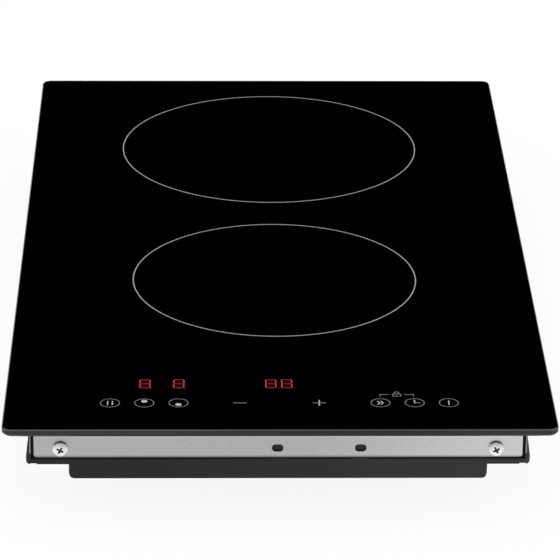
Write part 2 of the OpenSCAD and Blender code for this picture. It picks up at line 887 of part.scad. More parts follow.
// Rows of slots that fill a circle, for the fan's inlet
module grille_slots(r) {
    rows = floor((r - grille_slot) / grille_pitch);
    for (i = [-rows:rows])
        let (y = i * grille_pitch, half = sqrt(r * r - y * y) - grille_slot / 2)
            translate([0, y]) slot_outline(2 * half, grille_slot);
}

// A row of n slots along Y
module vent_row(n, pitch, l) {
    for (i = [0:n - 1]) translate([0, (i - (n - 1) / 2) * pitch]) slot_outline(l, grille_slot);
}

// A post from z0 up to z1 with a pilot hole in its top
module post(p, z0, z1, r, depth) {
    translate([p[0], p[1], z0]) difference() {
        cylinder(r = r, h = z1 - z0);
        translate([0, 0, z1 - z0 - depth]) cylinder(r = small_screw_r + pilot_fit, h = depth + cut);
    }
}

function board_corners(x0, x1, y0, y1, inset) =
    [for (x = [x0 + inset, x1 - inset], y = [y0 + inset, y1 - inset]) [x, y]];

power_screw_spots =
    board_corners(-power_w / 2, power_w / 2, power_front, power_rear, board_screw_inset);
filter_screw_spots =
    board_corners(filter_x0, filter_x1, filter_front, filter_rear, board_screw_inset);
board_screw_spots = concat(power_screw_spots, filter_screw_spots);
fan_screw_spots = [for (a = fan_ear_angles)
    [fan_x + fan_ear_r * cos(a), fan_y + fan_ear_r * sin(a)]];
plate_screw_spots = [for (x = [-plate_screw_x, plate_screw_x], y = plate_screw_ys) [x, y]];
control_screw_spots = [for (x = [-control_leg_x, control_leg_x], y = control_leg_ys) [x, y]];

module tray_posts() {
    for (p = board_screw_spots) post(p, wall, board_z, post_r, small_depth - board_t);
    for (p = fan_screw_spots) post(p, wall, fan_ear_z, fan_post_r, small_depth - fan_ear_t);
    for (p = plate_screw_spots) post(p, wall, plate_z, plate_post_r, small_depth);
}

// Bosses in the tray for the screws of the rear rail
module rail_bosses() {
    y = tray_rear - rail_recess - wall / 2;
    for (s = [-1, 1]) rod_y(s * rail_screw_x, y - boss_l, rail_screw_z, boss_r, boss_l);
}

// What the rear rail takes out of the tray: its recess and its screw holes
module rail_cuts() {
    span = rail_w + 2 * rail_end_gap;
    flange_y = tray_rear - rail_flange - flange_room;
    outer = tray_rear + cut;
    box([-span / 2, tray_rear - rail_recess, ledge_z], [span / 2, outer, overall_h]);
    box([-span / 2, flange_y, rail_top_z - sheet_t - flange_gap], [span / 2, outer, overall_h]);
    for (s = [-1, 1]) rod_y(s * rail_screw_x, tray_rear - screw_len - cut, rail_screw_z,
        screw_r + pilot_fit, screw_len + 2 * cut);
}

// The shell: a wide shallow tub over a narrower pan
module tray_shell() {
    inner = tray_rear - rail_recess - wall;
    difference() {
        union() {
            difference() {
                union() {
                    tub_solid(0, tub_z, rim_z);
                    pan_solid(0, tub_floor_z);
                }
                intersection() {
                    tub_solid(wall, tub_floor_z - wall, overall_h);
                    box([-tray_w, -inner, tub_floor_z], [tray_w, inner, overall_h]);
                }
                pan_solid(wall, overall_h);
            }
            for (side = [-1, 1]) at_end(side) rail_bosses();
        }
        for (side = [-1, 1]) at_end(side) rail_cuts();
        for (s = [-1, 1]) translate([s * (tray_w / 2 - foot_w - foot_notch_w / 2), 0, tub_z])
            cube([foot_notch_w, 2 * tray_d, 2 * foot_notch_h], center = true);
    }
}

// The fan's inlet, the floor vents, the leads' hole and the terminal box's screw holes
module tray_openings() {
    translate([0, 0, -cut]) linear_extrude(wall + 2 * cut) {
        translate([fan_x, fan_y]) grille_slots(eye_r);
        for (s = [-1, 1]) translate([s * vent_x, vent_y]) vent_row(vent_count, vent_pitch, vent_l);
    }
    rod_y(body_x + lead_hole_x, pan_rear - 2 * wall, lead_hole_z, grommet_r + fit, 4 * wall);
    for (x = box_screw_xs) translate([body_x + x, box_screw_y, tub_z - cut])
        cylinder(r = screw_r + pilot_fit, h = screw_len + 2 * cut);
}

module base_tray() {
    color([0.16, 0.16, 0.17]) difference() {
        union() {
            translate([body_x, 0, 0]) tray_shell();
            tray_posts();
            for (x = box_screw_xs) translate([body_x + x, box_screw_y, tub_z])
                cylinder(r = boss_r, h = box_boss_h);
        }
        tray_openings();
    }
}

/* ---- Coils ---- */

module coil_plate() {
    rear_slot_w = rear_lead_xs[1] - rear_lead_xs[0] + lead_slot;
    front_slot_w = front_lead_ys[1] - front_lead_ys[0] + lead_slot;
    color([0.75, 0.76, 0.78]) translate([0, 0, plate_z]) difference() {
        translate([0, (plate_front + plate_rear) / 2, 0]) linear_extrude(plate_t)
            rounded_rect(plate_w, plate_rear - plate_front, plate_corner_r);
        translate([0, 0, -cut]) linear_extrude(plate_t + 2 * cut) {
            for (p = plate_screw_spots) translate(p) circle(small_screw_r + screw_fit);
            for (y = [rear_zone_y, front_zone_y]) translate([0, y]) circle(sensor_hole_r);
            translate([(rear_lead_xs[0] + rear_lead_xs[1]) / 2, rear_lead_y])
                slot_outline(rear_slot_w, lead_slot);
            translate([front_lead_x, front_zone_y]) rotate(90) slot_outline(front_slot_w, lead_slot);
        }
    }
}

module coil_plate_screws() {
    color([0.7, 0.71, 0.73]) for (p = plate_screw_spots) translate([p[0], p[1], plate_top])
        small_screw(small_depth);
}

module at_ferrites() {
    for (k = [0:ferrite_count - 1]) rotate((k + 0.5) * 360 / ferrite_count) children();
}

function ferrite_reach(r) = min(ferrite_l, r - ferrite_in_r);

// Two walls that hold a ferrite bar by its sides
module ferrite_pocket(r) {
    y = ferrite_w / 2 + fit + pocket_wall / 2;
    z0 = ferrite_z + pocket_wall;
    for (s = [-1, 1]) translate([ferrite_in_r, s * y - pocket_wall / 2, z0])
        cube([ferrite_reach(r), pocket_wall, carrier_z - z0]);
}

// The plastic carrier of one coil: disc, rim, ferrite pockets, spring seats and sensor cup
module coil_carrier(r, lead_angle) {
    rim_r = r + carrier_lip;
    rim_h = litz_d - 0.5;
    seat_depth = ferrite_t - 1;
    difference() {
        union() {
            translate([0, 0, carrier_z]) cylinder(r = rim_r, h = carrier_t);
            translate([0, 0, winding_z]) ring(rim_r, r + fit, rim_h);
            translate([0, 0, winding_z]) ring(winding_bore_r - fit, sensor_cup_r, rim_h);
            translate([0, 0, ferrite_z]) cylinder(r = sensor_cup_r, h = ferrite_t);
            at_ferrites() ferrite_pocket(r);
            for (a = spring_angles) rotate(a) translate([r - spring_inset, 0, ferrite_z])
                ring(spring_r + spring_wire + spring_seat_wall, spring_r - spring_wire, ferrite_t);
        }
        translate([0, 0, ferrite_z + sensor_cup_t]) cylinder(r = sensor_r + 1, h = overall_h);
        for (a = spring_angles) rotate(a) translate([r - spring_inset, 0, ferrite_z - cut])
            ring(spring_r + spring_wire, spring_r - spring_wire / 2 - fit, seat_depth + cut);
        rotate(lead_angle) translate([r - 3, -notch_w / 2, winding_z])
            cube([3 + 2 * carrier_lip, notch_w, litz_d]);
    }
}

// A flat spiral of litz wire, drawn as one ring of touching turns
module coil_winding(r) {
    turns = floor((r - winding_bore_r) / litz_d);
    pitch = (r - winding_bore_r) / turns;
    web = litz_d * 0.6;
    rotate_extrude($fn = 96) union() {
        translate([winding_bore_r + pitch / 2, winding_z + (litz_d - web) / 2])
            square([r - winding_bore_r - pitch, web]);
        for (i = [0:turns - 1]) translate([winding_bore_r + pitch * (i + 0.5), winding_z + litz_d / 2])
            circle(litz_d / 2, $fn = 24);
    }
}

module coil_ferrites(r) {
    at_ferrites() translate([ferrite_in_r, -ferrite_w / 2, ferrite_z])
        cube([ferrite_reach(r), ferrite_w, ferrite_t]);
}

module coil_blanket(r) {
    translate([0, 0, blanket_z]) ring(r - 2 * fit, sensor_r + 2, blanket_t);
}

module coil_springs(r) {
    free = ferrite_z + ferrite_t - 1 - plate_top;
    for (a = spring_angles) rotate(a) translate([r - spring_inset, 0, plate_top])
        spring(spring_r + spring_wire / 4, spring_wire, free, 4);
}

// A sensor bead in its cap, pressed up against the glass
module sensor() {
    translate([0, 0, sensor_z]) cylinder(r = sensor_r, h = sensor_h - sensor_tip_h);
    translate([0, 0, glass_z - sensor_tip_h]) cylinder(r = sensor_r - 1, h = sensor_tip_h);
}

module sensor_spring() {
    z0 = ferrite_z + sensor_cup_t;
    translate([0, 0, z0]) spring(3.4, sensor_spring_wire, sensor_z - z0, 4);
}

module at_rear() {
    translate([0, rear_zone_y, 0]) children();
}

module at_front() {
    translate([0, front_zone_y, 0]) children();
}

module rear_coil_carrier() { color([0.85, 0.83, 0.78]) at_rear() coil_carrier(rear_winding_r, -73); }
module rear_coil_winding() { color([0.72, 0.4, 0.2]) at_rear() coil_winding(rear_winding_r); }
module rear_coil_ferrites() { color([0.25, 0.25, 0.27]) at_rear() coil_ferrites(rear_winding_r); }
module rear_coil_blanket() { color([0.9, 0.88, 0.8]) at_rear() coil_blanket(rear_winding_r); }
module rear_coil_springs() { color([0.7, 0.71, 0.73]) at_rear() coil_springs(rear_winding_r); }
module rear_sensor() { color([0.85, 0.85, 0.82]) at_rear() sensor(); }
module rear_sensor_spring() { color([0.7, 0.71, 0.73]) at_rear() sensor_spring(); }
module front_coil_carrier() { color([0.85, 0.83, 0.78]) at_front() coil_carrier(front_winding_r, 0); }
module front_coil_winding() { color([0.72, 0.4, 0.2]) at_front() coil_winding(front_winding_r); }
module front_coil_ferrites() { color([0.25, 0.25, 0.27]) at_front() coil_ferrites(front_winding_r); }
module front_coil_blanket() { color([0.9, 0.88, 0.8]) at_front() coil_blanket(front_winding_r); }
module front_coil_springs() { color([0.7, 0.71, 0.73]) at_front() coil_springs(front_winding_r); }
module front_sensor() { color([0.85, 0.85, 0.82]) at_front() sensor(); }
module front_sensor_spring() { color([0.7, 0.71, 0.73]) at_front() sensor_spring(); }

// Two leads from the rear winding, through the plate, to tabs on the power board
module rear_coil_leads() {
    color([0.75, 0.2, 0.15]) for (x = rear_lead_xs)
        let (start = rear_zone_y - sqrt(pow(rear_winding_r, 2) - pow(x - lead_d / 2, 2)) - fit)
            wire(rounded_route([
                [x, start, lead_z], [x, rear_lead_y, lead_z], [x, rear_lead_y, lead_run_z],
                [x, rear_tab_y, lead_run_z], [x, rear_tab_y, board_top + tab_h]
            ], lead_bend), lead_d);
}

module front_coil_leads() {
    color([0.75, 0.2, 0.15]) for (y = front_lead_ys)
        let (half = abs(y - front_zone_y) - lead_d / 2,
             start = sqrt(pow(front_winding_r, 2) - pow(half, 2)) + fit)
            wire(rounded_route([
                [start, y, lead_z], [front_lead_x, y, lead_z], [front_lead_x, y, lead_run_z],
                [front_tab_x, y, lead_run_z], [front_tab_x, y, board_top + tab_h]
            ], lead_bend), lead_d);
}

/* ---- Controls under the glass ---- */

module control_board() {
    color([0.1, 0.35, 0.2]) difference() {
        union() {
            translate([-control_w / 2, control_front, control_z]) cube([control_w, control_d, board_t]);
            for (c = control_chips) translate([c[0], control_front + chip_inset, control_z - chip_t])
                cube([c[1], c[2], chip_t]);
        }
        for (p = control_screw_spots) translate([p[0], p[1], control_z - cut])
            cylinder(r = small_screw_r + screw_fit, h = board_t + 2 * cut);
    }
}

// A frame that holds the control board up to the glass
module control_carrier() {
    frame_z = control_z - carrier_frame_t;
    hole_w = control_w - 2 * control_end_w;
    hole_d = control_d - 2 * control_bar_w;
    color([0.2, 0.2, 0.21]) difference() {
        union() {
            translate([-control_w / 2, control_front, frame_z])
                cube([control_w, control_d, carrier_frame_t]);
            for (p = control_screw_spots) translate([p[0], p[1], pan_floor_z])
                cylinder(r = control_leg_r, h = frame_z - pan_floor_z + 1);
        }
        translate([-hole_w / 2, control_front + control_bar_w, frame_z - cut])
            cube([hole_w, hole_d, carrier_frame_t + 2 * cut]);
        for (p = control_screw_spots) translate([p[0], p[1], frame_z - small_depth])
            cylinder(r = small_screw_r + pilot_fit, h = overall_h);
    }
}

module control_screws() {
    color([0.7, 0.71, 0.73]) for (p = control_screw_spots)
        translate([p[0], p[1], control_z + board_t]) small_screw(small_depth + board_t);
}

module touch_springs() {
    color([0.8, 0.7, 0.35]) for (x = touch_xs)
        translate([x, key_y, control_z + board_t])
            spring(touch_spring_r, touch_wire, board_gap, touch_turns);
}

module display_modules() {
    color([0.08, 0.08, 0.08]) for (x = [digit_xs[0], digit_xs[1], 0])
        let (w = digit_w + 2 * module_side + (x == 0 ? digit_pitch : 0), d = digit_h + module_side)
            translate([x - w / 2, display_y - d / 2, control_z + board_t]) cube([w, d, module_h]);
}

// The flat ribbon from the control board to the power board
module control_ribbon() {
    ribbon_w = 24;
    t = 0.8;
    plug_h = 5;
    plug_d = 6;
    y0 = control_rear - plug_d - 8;
    y1 = plate_front - 4;
    y2 = power_front + plug_d + 2;
    z0 = control_z - plug_h - t / 2;
    z1 = board_top + plug_h + t / 2;
    pts = [[y0, z0], [y1 - 3, z0], [y1, z0 - 3], [y1, pan_floor_z + 4], [y1 + 8, z1], [y2, z1]];
    color([0.75, 0.75, 0.72]) {
        extrude_x(-ribbon_w / 2, ribbon_w / 2) {
            for (i = [0:len(pts) - 2])
                let (d = pts[i + 1] - pts[i])
                    translate(pts[i]) rotate(atan2(d[1], d[0])) translate([0, -t / 2]) square([norm(d), t]);
            for (p = pts) translate(p) circle(t / 2, $fn = 16);
        }
        box([-ribbon_w / 2, y0 - plug_d / 2, z0], [ribbon_w / 2, y0 + plug_d / 2, control_z]);
        box([-ribbon_w / 2, y2 - plug_d / 2, board_top], [ribbon_w / 2, y2 + plug_d / 2, z1]);
    }
}

/* ---- Power electronics ---- */

module board_plate(x0, x1, y0, y1, spots) {
    difference() {
        box([x0, y0, board_z], [x1, y1, board_top]);
        for (p = spots) translate([p[0], p[1], board_z - cut])
            cylinder(r = small_screw_r + screw_fit, h = board_t + 2 * cut);
    }
}

module power_board() {
    color([0.12, 0.38, 0.22]) {
        board_plate(-power_w / 2, power_w / 2, power_front, power_rear, power_screw_spots);
        translate([driver_x, driver_y, board_top]) cube([driver_w, driver_w, driver_t]);
    }
}

module heatsink() {
    fins = floor((sink_w - fin_t) / fin_pitch);
    color([0.7, 0.71, 0.73]) translate([sink_x0, sink_front, sink_z]) {
        cube([sink_w, sink_d, sink_base_t]);
        for (i = [0:fins]) translate([i * fin_pitch, 0, 0]) cube([fin_t, sink_d, sink_base_t + fin_h]);
        for (x = [0, sink_w - sink_foot_w], y = [0, sink_d - sink_foot_w]) translate([x, y, -case_t])
            cube([sink_foot_w, sink_foot_w, case_t]);
    }
}

module power_transistors() {
    color([0.07, 0.07, 0.07]) for (i = [0:case_count - 1], y = case_rows)
        translate([sink_x0 + case_inset + i * case_pitch, sink_front + y, board_top])
            cube([case_w, case_l, case_t]);
}

module power_capacitors() {
    color([0.75, 0.62, 0.12]) {
        for (i = [0:film_count - 1]) translate([film_x, film_y + i * film_pitch, board_top])
            cube([film_w, film_d, film_h]);
        for (i = [0:1]) translate([can_x - can_step * i, can_y + film_pitch * i, board_top])
            cylinder(r = can_r, h = can_h);
    }
}

module supply_transformer() {
    bobbin_inset = [(transformer_w - bobbin_w) / 2, (transformer_d - bobbin_w) / 2, yoke_t];
    color([0.3, 0.3, 0.32]) translate([transformer_x, transformer_y, board_top]) {
        for (z = [0, yoke_t + bobbin_h]) translate([0, 0, z]) cube([transformer_w, transformer_d, yoke_t]);
        translate(bobbin_inset) cube([bobbin_w, bobbin_w, bobbin_h]);
    }
}

// A flat tab on a board, for a lead to push onto
module lead_tab(x, y) {
    translate([x - tab_w / 2, y - tab_w / 2, board_top]) cube([tab_w, tab_w, tab_h]);
}

module lead_tabs() {
    color([0.8, 0.8, 0.78]) {
        for (x = rear_lead_xs) lead_tab(x, rear_tab_y);
        for (y = front_lead_ys) lead_tab(front_tab_x, y);
        for (i = [-1:1]) lead_tab(mains_lead_x(i), mains_tab_y);
    }
}

module filter_board() {
    color([0.12, 0.38, 0.22])
        board_plate(filter_x0, filter_x1, filter_front, filter_rear, filter_screw_spots);
}

// Common-mode choke: a ring core with two windings of square turns, on a short foot
module filter_choke() {
    turn = choke_turn;
    translate([choke_x, choke_y, board_top + choke_lift]) {
        color([0.2, 0.35, 0.3]) ring(choke_r, choke_in_r, choke_h);
        color([0.75, 0.42, 0.2]) for (side = [0, 180], k = [-4:4]) rotate(side + k * choke_turn_angle)
            box([choke_in_r - turn, -turn / 2, -turn], [choke_r + turn, turn / 2, choke_h + turn]);
    }
    color([0.15, 0.15, 0.15]) translate([choke_x, choke_y, board_top])
        cylinder(r = choke_r - 1, h = choke_lift - turn);
}

module filter_capacitors() {
    color([0.8, 0.68, 0.15]) {
        translate([x_cap_x, x_cap_y, board_top]) cube([x_cap_w, x_cap_d, x_cap_h]);
        translate([x_cap_x, x_cap_y + x_cap_pitch, board_top]) cube([small_cap_w, small_cap_d, small_cap_h]);
        for (i = [0:1]) rod_y(y_cap_x, y_cap_y + y_cap_pitch * i, board_top + y_cap_r, y_cap_r, y_cap_t);
    }
}

// The line fuse in its two clips
module line_fuse() {
    color([0.8, 0.8, 0.78]) for (y = [fuse_y, fuse_y + fuse_l - fuse_cap_l]) {
        rod_y(fuse_x, y, fuse_z, fuse_r + fuse_cap_t, fuse_cap_l);
        box([fuse_x - fuse_r, y + 1, board_top], [fuse_x + fuse_r, y + fuse_cap_l - 1, fuse_z]);
    }
    color([0.9, 0.92, 0.9])
        rod_y(fuse_x, fuse_y + fuse_cap_l, fuse_z, fuse_r, fuse_l - 2 * fuse_cap_l);
}

module board_screws() {
    color([0.7, 0.71, 0.73]) for (p = board_screw_spots) translate([p[0], p[1], board_top])
        small_screw(small_depth);
}

/* ---- Fan ---- */

// The scroll and its outlet duct, t inside their outer face and with the fan's axis at the origin
module fan_outline(t) {
    mouth = duct_front - fan_y;
    circle(fan_r - t);
    translate([duct_x0 - fan_x + t, mouth - t]) square([duct_w - 2 * t, t - mouth]);
}

module fan_ear() {
    start = fan_r - fan_ear_root;
    linear_extrude(fan_ear_t) {
        translate([fan_ear_r, 0]) circle(fan_ear_w / 2);
        translate([start, -fan_ear_w / 2]) square([fan_ear_r - start, fan_ear_w]);
    }
}

module fan_housing() {
    color([0.13, 0.13, 0.14]) difference() {
        translate([fan_x, fan_y, 0]) {
            translate([0, 0, fan_z]) linear_extrude(fan_h) fan_outline(0);
            for (a = fan_ear_angles) translate([0, 0, fan_ear_z]) rotate(a) fan_ear();
        }
        translate([fan_x, fan_y, fan_z + fan_wall]) linear_extrude(fan_h - 2 * fan_wall)
            fan_outline(fan_wall);
        translate([fan_x, fan_y, fan_z - cut]) cylinder(r = eye_r, h = fan_wall + 2 * cut);
        for (p = fan_screw_spots) translate([p[0], p[1], fan_ear_z - cut])
            cylinder(r = small_screw_r + screw_fit, h = fan_ear_t + 2 * cut);
    }
}

// Motor plate and stator, hung under the housing's top, with the shaft that the impeller turns on
module fan_motor() {
    color([0.55, 0.5, 0.35]) translate([fan_x, fan_y, 0]) {
        translate([0, 0, motor_z]) cylinder(r = motor_flange_r, h = motor_flange_t);
        translate([0, 0, stator_z]) cylinder(r = stator_r, h = motor_z - stator_z);
        translate([0, 0, shaft_z]) cylinder(r = shaft_r, h = stator_z - shaft_z + 1);
        translate([0, 0, shaft_z]) cylinder(r = collar_r, h = collar_h);
    }
}

// A straight blade near the impeller's rim, turned to lean forward
module fan_blade() {
    translate([impeller_r - blade_l / 2, 0, rotor_z]) rotate(blade_lean)
        translate([-blade_l, -blade_t / 2, 0])
            cube([2 * blade_l, blade_t, rotor_top - rotor_z - disc_t / 2]);
}

module fan_rotor() {
    color([0.1, 0.1, 0.11]) translate([fan_x, fan_y, 0]) {
        difference() {
            union() {
                translate([0, 0, hub_floor_z]) cylinder(r = hub_r, h = rotor_top - hub_floor_z);
                translate([0, 0, rotor_top - disc_t]) cylinder(r = impeller_r, h = disc_t);
            }
            translate([0, 0, hub_floor_z + hub_floor_t]) cylinder(r = hub_r - hub_wall, h = overall_h);
            translate([0, 0, hub_floor_z - cut]) cylinder(r = shaft_r + run_fit, h = hub_floor_t + 2 * cut);
        }
        translate([0, 0, rotor_z]) ring(impeller_r, impeller_r - rim_w, disc_t);
        intersection() {
            translate([0, 0, rotor_z]) ring(impeller_r - 0.2, impeller_r - blade_l, rotor_top - rotor_z);
            for (k = [0:blade_count - 1]) rotate(k * 360 / blade_count) fan_blade();
        }
    }
}

module fan_screws() {
    color([0.7, 0.71, 0.73]) for (p = fan_screw_spots)
        translate([p[0], p[1], fan_ear_z + fan_ear_t]) small_screw(small_depth);
}

/* ---- Terminal box ---- */

module hinge_ear(z0) {
    translate([hinge_x, hinge_y, z0]) cylinder(r = knuckle_r, h = ear_h);
    box([box_x0, box_y1 - 2, z0], [hinge_x + knuckle_r * 0.6, hinge_y, z0 + ear_h]);
}

module terminal_box() {
    color([0.14, 0.14, 0.15]) translate([body_x, 0, 0]) difference() {
        union() {
            difference() {
                box([box_x0, box_y0, box_z0], [box_x1, box_y1, box_z1]);
                box([box_x0 + box_wall, box_y0 + box_wall, box_z0 + box_wall],
                    [box_x1 - box_wall, box_y1 + cut, box_z1 - box_wall]);
            }
            hinge_ear(hinge_z0);
            hinge_ear(hinge_z1 - ear_h);
        }
        translate([hinge_x, hinge_y, 0]) cylinder(r = hinge_pin_r + pilot_fit, h = overall_h);
        rod_x(box_x1 - box_wall - cut, inlet_y, inlet_z, inlet_r, box_wall + 2 * cut);
        rod_y(lead_hole_x, box_y0 - cut, lead_hole_z, grommet_r + fit, box_wall + 2 * cut);
        for (x = box_screw_xs) translate([x, box_screw_y, box_z1 - box_wall - cut])
            cylinder(r = screw_r + screw_fit, h = box_wall + 2 * cut);
    }
}

function pole_x(i) = block_x0 + pole_pitch * (i + 0.5);

// The wire hole of one pole, the pocket of its clamp screw and that screw's pilot hole
module pole_holes(x) {
    pocket_y = block_y1 - clamp_head_depth;
    rod_y(x, block_y1 - clamp_depth, clamp_z, clamp_r, clamp_depth + cut);
    rod_y(x, pocket_y, screw_row_z, clamp_head_r + fit, clamp_head_depth + cut);
    rod_y(x, pocket_y - clamp_screw_l, screw_row_z, small_screw_r + pilot_fit, clamp_screw_l + cut);
}

module terminal_block() {
    color([0.88, 0.87, 0.83]) translate([body_x, 0, 0]) difference() {
        union() {
            translate([block_x0, block_y0, block_z0]) cube([block_w, block_d, block_h]);
            for (i = [0:pole_count])
                translate([block_x0 + pole_pitch * i - block_rib / 2, block_y1 - block_rib, block_z0])
                    cube([block_rib, 2 * block_rib, block_h]);
        }
        for (i = [0:pole_count - 1]) pole_holes(pole_x(i));
    }
}

module terminal_screws() {
    color([0.8, 0.72, 0.4]) translate([body_x, 0, 0]) for (i = [0:pole_count - 1])
        translate([pole_x(i), block_y1 - clamp_head_depth, screw_row_z]) rotate([-90, 0, 0])
            screw(small_screw_r, clamp_head_r, clamp_head_h, clamp_screw_l);
}

// The door: a panel, its knuckle between the two ears, a snap catch and a finger rib
module terminal_door() {
    z0 = box_z0 + door_edge_gap;
    z1 = box_z1 - door_edge_gap;
    y0 = box_y1 + door_gap;
    panel_x = hinge_x + knuckle_r + 1;
    knuckle_z0 = hinge_z0 + ear_h + door_gap;
    knuckle_z1 = hinge_z1 - ear_h - door_gap;
    catch_x = box_x1 - box_wall - catch_gap;
    grip_x = box_x1 - 2 * grip_w;
    color([0.14, 0.14, 0.15]) translate([body_x, 0, 0]) difference() {
        union() {
            box([panel_x, y0, z0], [box_x1, y0 + door_t, z1]);
            translate([hinge_x, hinge_y, knuckle_z0]) cylinder(r = knuckle_r, h = knuckle_z1 - knuckle_z0);
            box([hinge_x, y0 + fit, knuckle_z0], [panel_x + 1, y0 + door_t, knuckle_z1]);
            box([catch_x - catch_w, box_y1 - catch_reach, catch_z0], [catch_x, y0 + 1, catch_z1]);
            box([grip_x, y0, catch_z0 + 1], [grip_x + grip_w, y0 + door_t + grip_t, catch_z1 - 1]);
        }
        translate([hinge_x, hinge_y, 0]) cylinder(r = hinge_pin_r + run_fit, h = overall_h);
    }
}

module door_pin() {
    color([0.7, 0.71, 0.73]) translate([body_x + hinge_x, hinge_y, hinge_z0])
        cylinder(r = hinge_pin_r, h = hinge_z1 - hinge_z0);
}

module terminal_box_screws() {
    color([0.7, 0.71, 0.73]) for (x = box_screw_xs)
        translate([body_x + x, box_screw_y, box_z1 - box_wall]) rotate([180, 0, 0]) large_screw();
}

// Rubber bush in the hole between the terminal box and the tray
module lead_grommet() {
    span = wall + box_wall;
    color([0.1, 0.1, 0.1]) translate([body_x + lead_hole_x, pan_rear - wall, lead_hole_z])
        rotate([-90, 0, 0]) difference() {
            union() {
                cylinder(r = grommet_r, h = span);
                for (z = [-grommet_flange_t, span]) translate([0, 0, z])
                    cylinder(r = grommet_flange_r, h = grommet_flange_t);
            }
            translate([0, 0, -span]) cylinder(r = grommet_bore_r, h = 3 * span);
        }
}

function mains_lead_x(i) = body_x + lead_hole_x + i * lead_pitch;

// Live, neutral and earth leads from the terminal block to the filter board
module mains_leads() {
    tints = [[0.25, 0.15, 0.1], [0.15, 0.3, 0.7], [0.3, 0.6, 0.2]];
    for (i = [-1:1]) color(tints[i + 1]) wire(rounded_route([
        [mains_lead_x(i), block_y0 - 3 * fit, lead_hole_z],
        [mains_lead_x(i), mains_tab_y, board_top + tab_h + lead_arch],
        [mains_lead_x(i), mains_tab_y, board_top + tab_h]
    ], lead_bend), lead_d);
}

glass_plate();
zone_rings();
control_marks();
display_digits();
glass_gasket();
glass_bond();
front_rail();
rear_rail();
rail_screws();
base_tray();
coil_plate();
coil_plate_screws();
rear_coil_carrier();
rear_coil_winding();
rear_coil_ferrites();
rear_coil_blanket();
rear_coil_springs();
rear_sensor();
rear_sensor_spring();
rear_coil_leads();
front_coil_carrier();
front_coil_winding();
front_coil_ferrites();
front_coil_blanket();
front_coil_springs();
front_sensor();
front_sensor_spring();
front_coil_leads();
control_board();
control_carrier();
control_screws();
touch_springs();
display_modules();
control_ribbon();
power_board();
heatsink();
power_transistors();
power_capacitors();
supply_transformer();
lead_tabs();
filter_board();
filter_choke();
filter_capacitors();
line_fuse();
board_screws();
fan_housing();
fan_motor();
fan_rotor();
fan_screws();
terminal_box();
terminal_block();
terminal_screws();
terminal_door();
door_pin();
terminal_box_screws();
lead_grommet();
mains_leads();
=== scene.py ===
"""A built-in two-zone induction cooktop, finished over its packed construction model.

Each sub-assembly is a class that builds its pieces in metres, in the construction model's own
frame, and dresses them. Places come from the model's boxes. main() builds them in order.
"""

from __future__ import annotations

import logging
import math
from dataclasses import dataclass
from enum import Enum, IntEnum
from typing import Any, Callable, Iterable, Sequence

import bmesh
import bpy
from bmesh.types import BMEdge, BMesh, BMFace, BMVert
from mathutils import Matrix, Vector

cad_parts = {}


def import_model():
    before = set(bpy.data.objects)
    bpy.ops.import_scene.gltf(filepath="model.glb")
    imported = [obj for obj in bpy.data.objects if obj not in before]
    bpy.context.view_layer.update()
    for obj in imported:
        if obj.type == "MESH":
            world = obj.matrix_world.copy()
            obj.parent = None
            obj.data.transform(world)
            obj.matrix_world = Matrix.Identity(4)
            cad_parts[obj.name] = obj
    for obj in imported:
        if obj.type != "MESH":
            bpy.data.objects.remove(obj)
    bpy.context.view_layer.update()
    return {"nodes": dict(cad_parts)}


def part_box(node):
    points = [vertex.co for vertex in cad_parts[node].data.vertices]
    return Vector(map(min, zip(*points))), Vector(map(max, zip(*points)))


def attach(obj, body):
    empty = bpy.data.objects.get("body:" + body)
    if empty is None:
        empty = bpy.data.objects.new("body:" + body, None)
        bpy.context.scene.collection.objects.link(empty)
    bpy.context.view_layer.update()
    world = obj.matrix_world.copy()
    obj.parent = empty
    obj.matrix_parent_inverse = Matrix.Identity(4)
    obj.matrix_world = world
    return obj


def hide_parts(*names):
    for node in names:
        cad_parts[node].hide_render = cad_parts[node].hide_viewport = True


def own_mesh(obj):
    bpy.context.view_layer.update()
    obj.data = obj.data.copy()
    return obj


LOG = logging.getLogger("cooktop")
CASING = "casing"

# Vertices closer than this are one: on new pieces, after a cut and on construction solids
WELD = 1e-7
CUT_WELD = 1e-6
SOLID_WELD = 2e-6
# How far a vertex may be from a height that it is said to have
LEVEL = 1e-6
# An edge runs along an axis if more than this share of its length does
PARALLEL = 0.999
# Faces that meet at less than this many degrees are one flat face
FLAT_DEGREES = 0.5
# How far the rounding of an edge reaches, from the finest parts to soft ones
HAIR, FINE, SMALL, EASED, BROAD, SOFT = 0.0001, 0.0002, 0.0003, 0.0004, 0.0005, 0.0008
# The share of its room that a wound wire fills, so that its turns stay apart
WIRE_FILL = 0.98
# The steps in one turn of a spring
SPRING_STEPS = 24
# The Mix node's sockets for its factor and for colours, and its output for a colour
MIX_FACTOR, MIX_FIRST, MIX_SECOND, MIX_RESULT = 0, 6, 7, 2

Colour = tuple[float, float, float]
Point = tuple[float, float]


# ---------------------------------------------------------------- shader maths


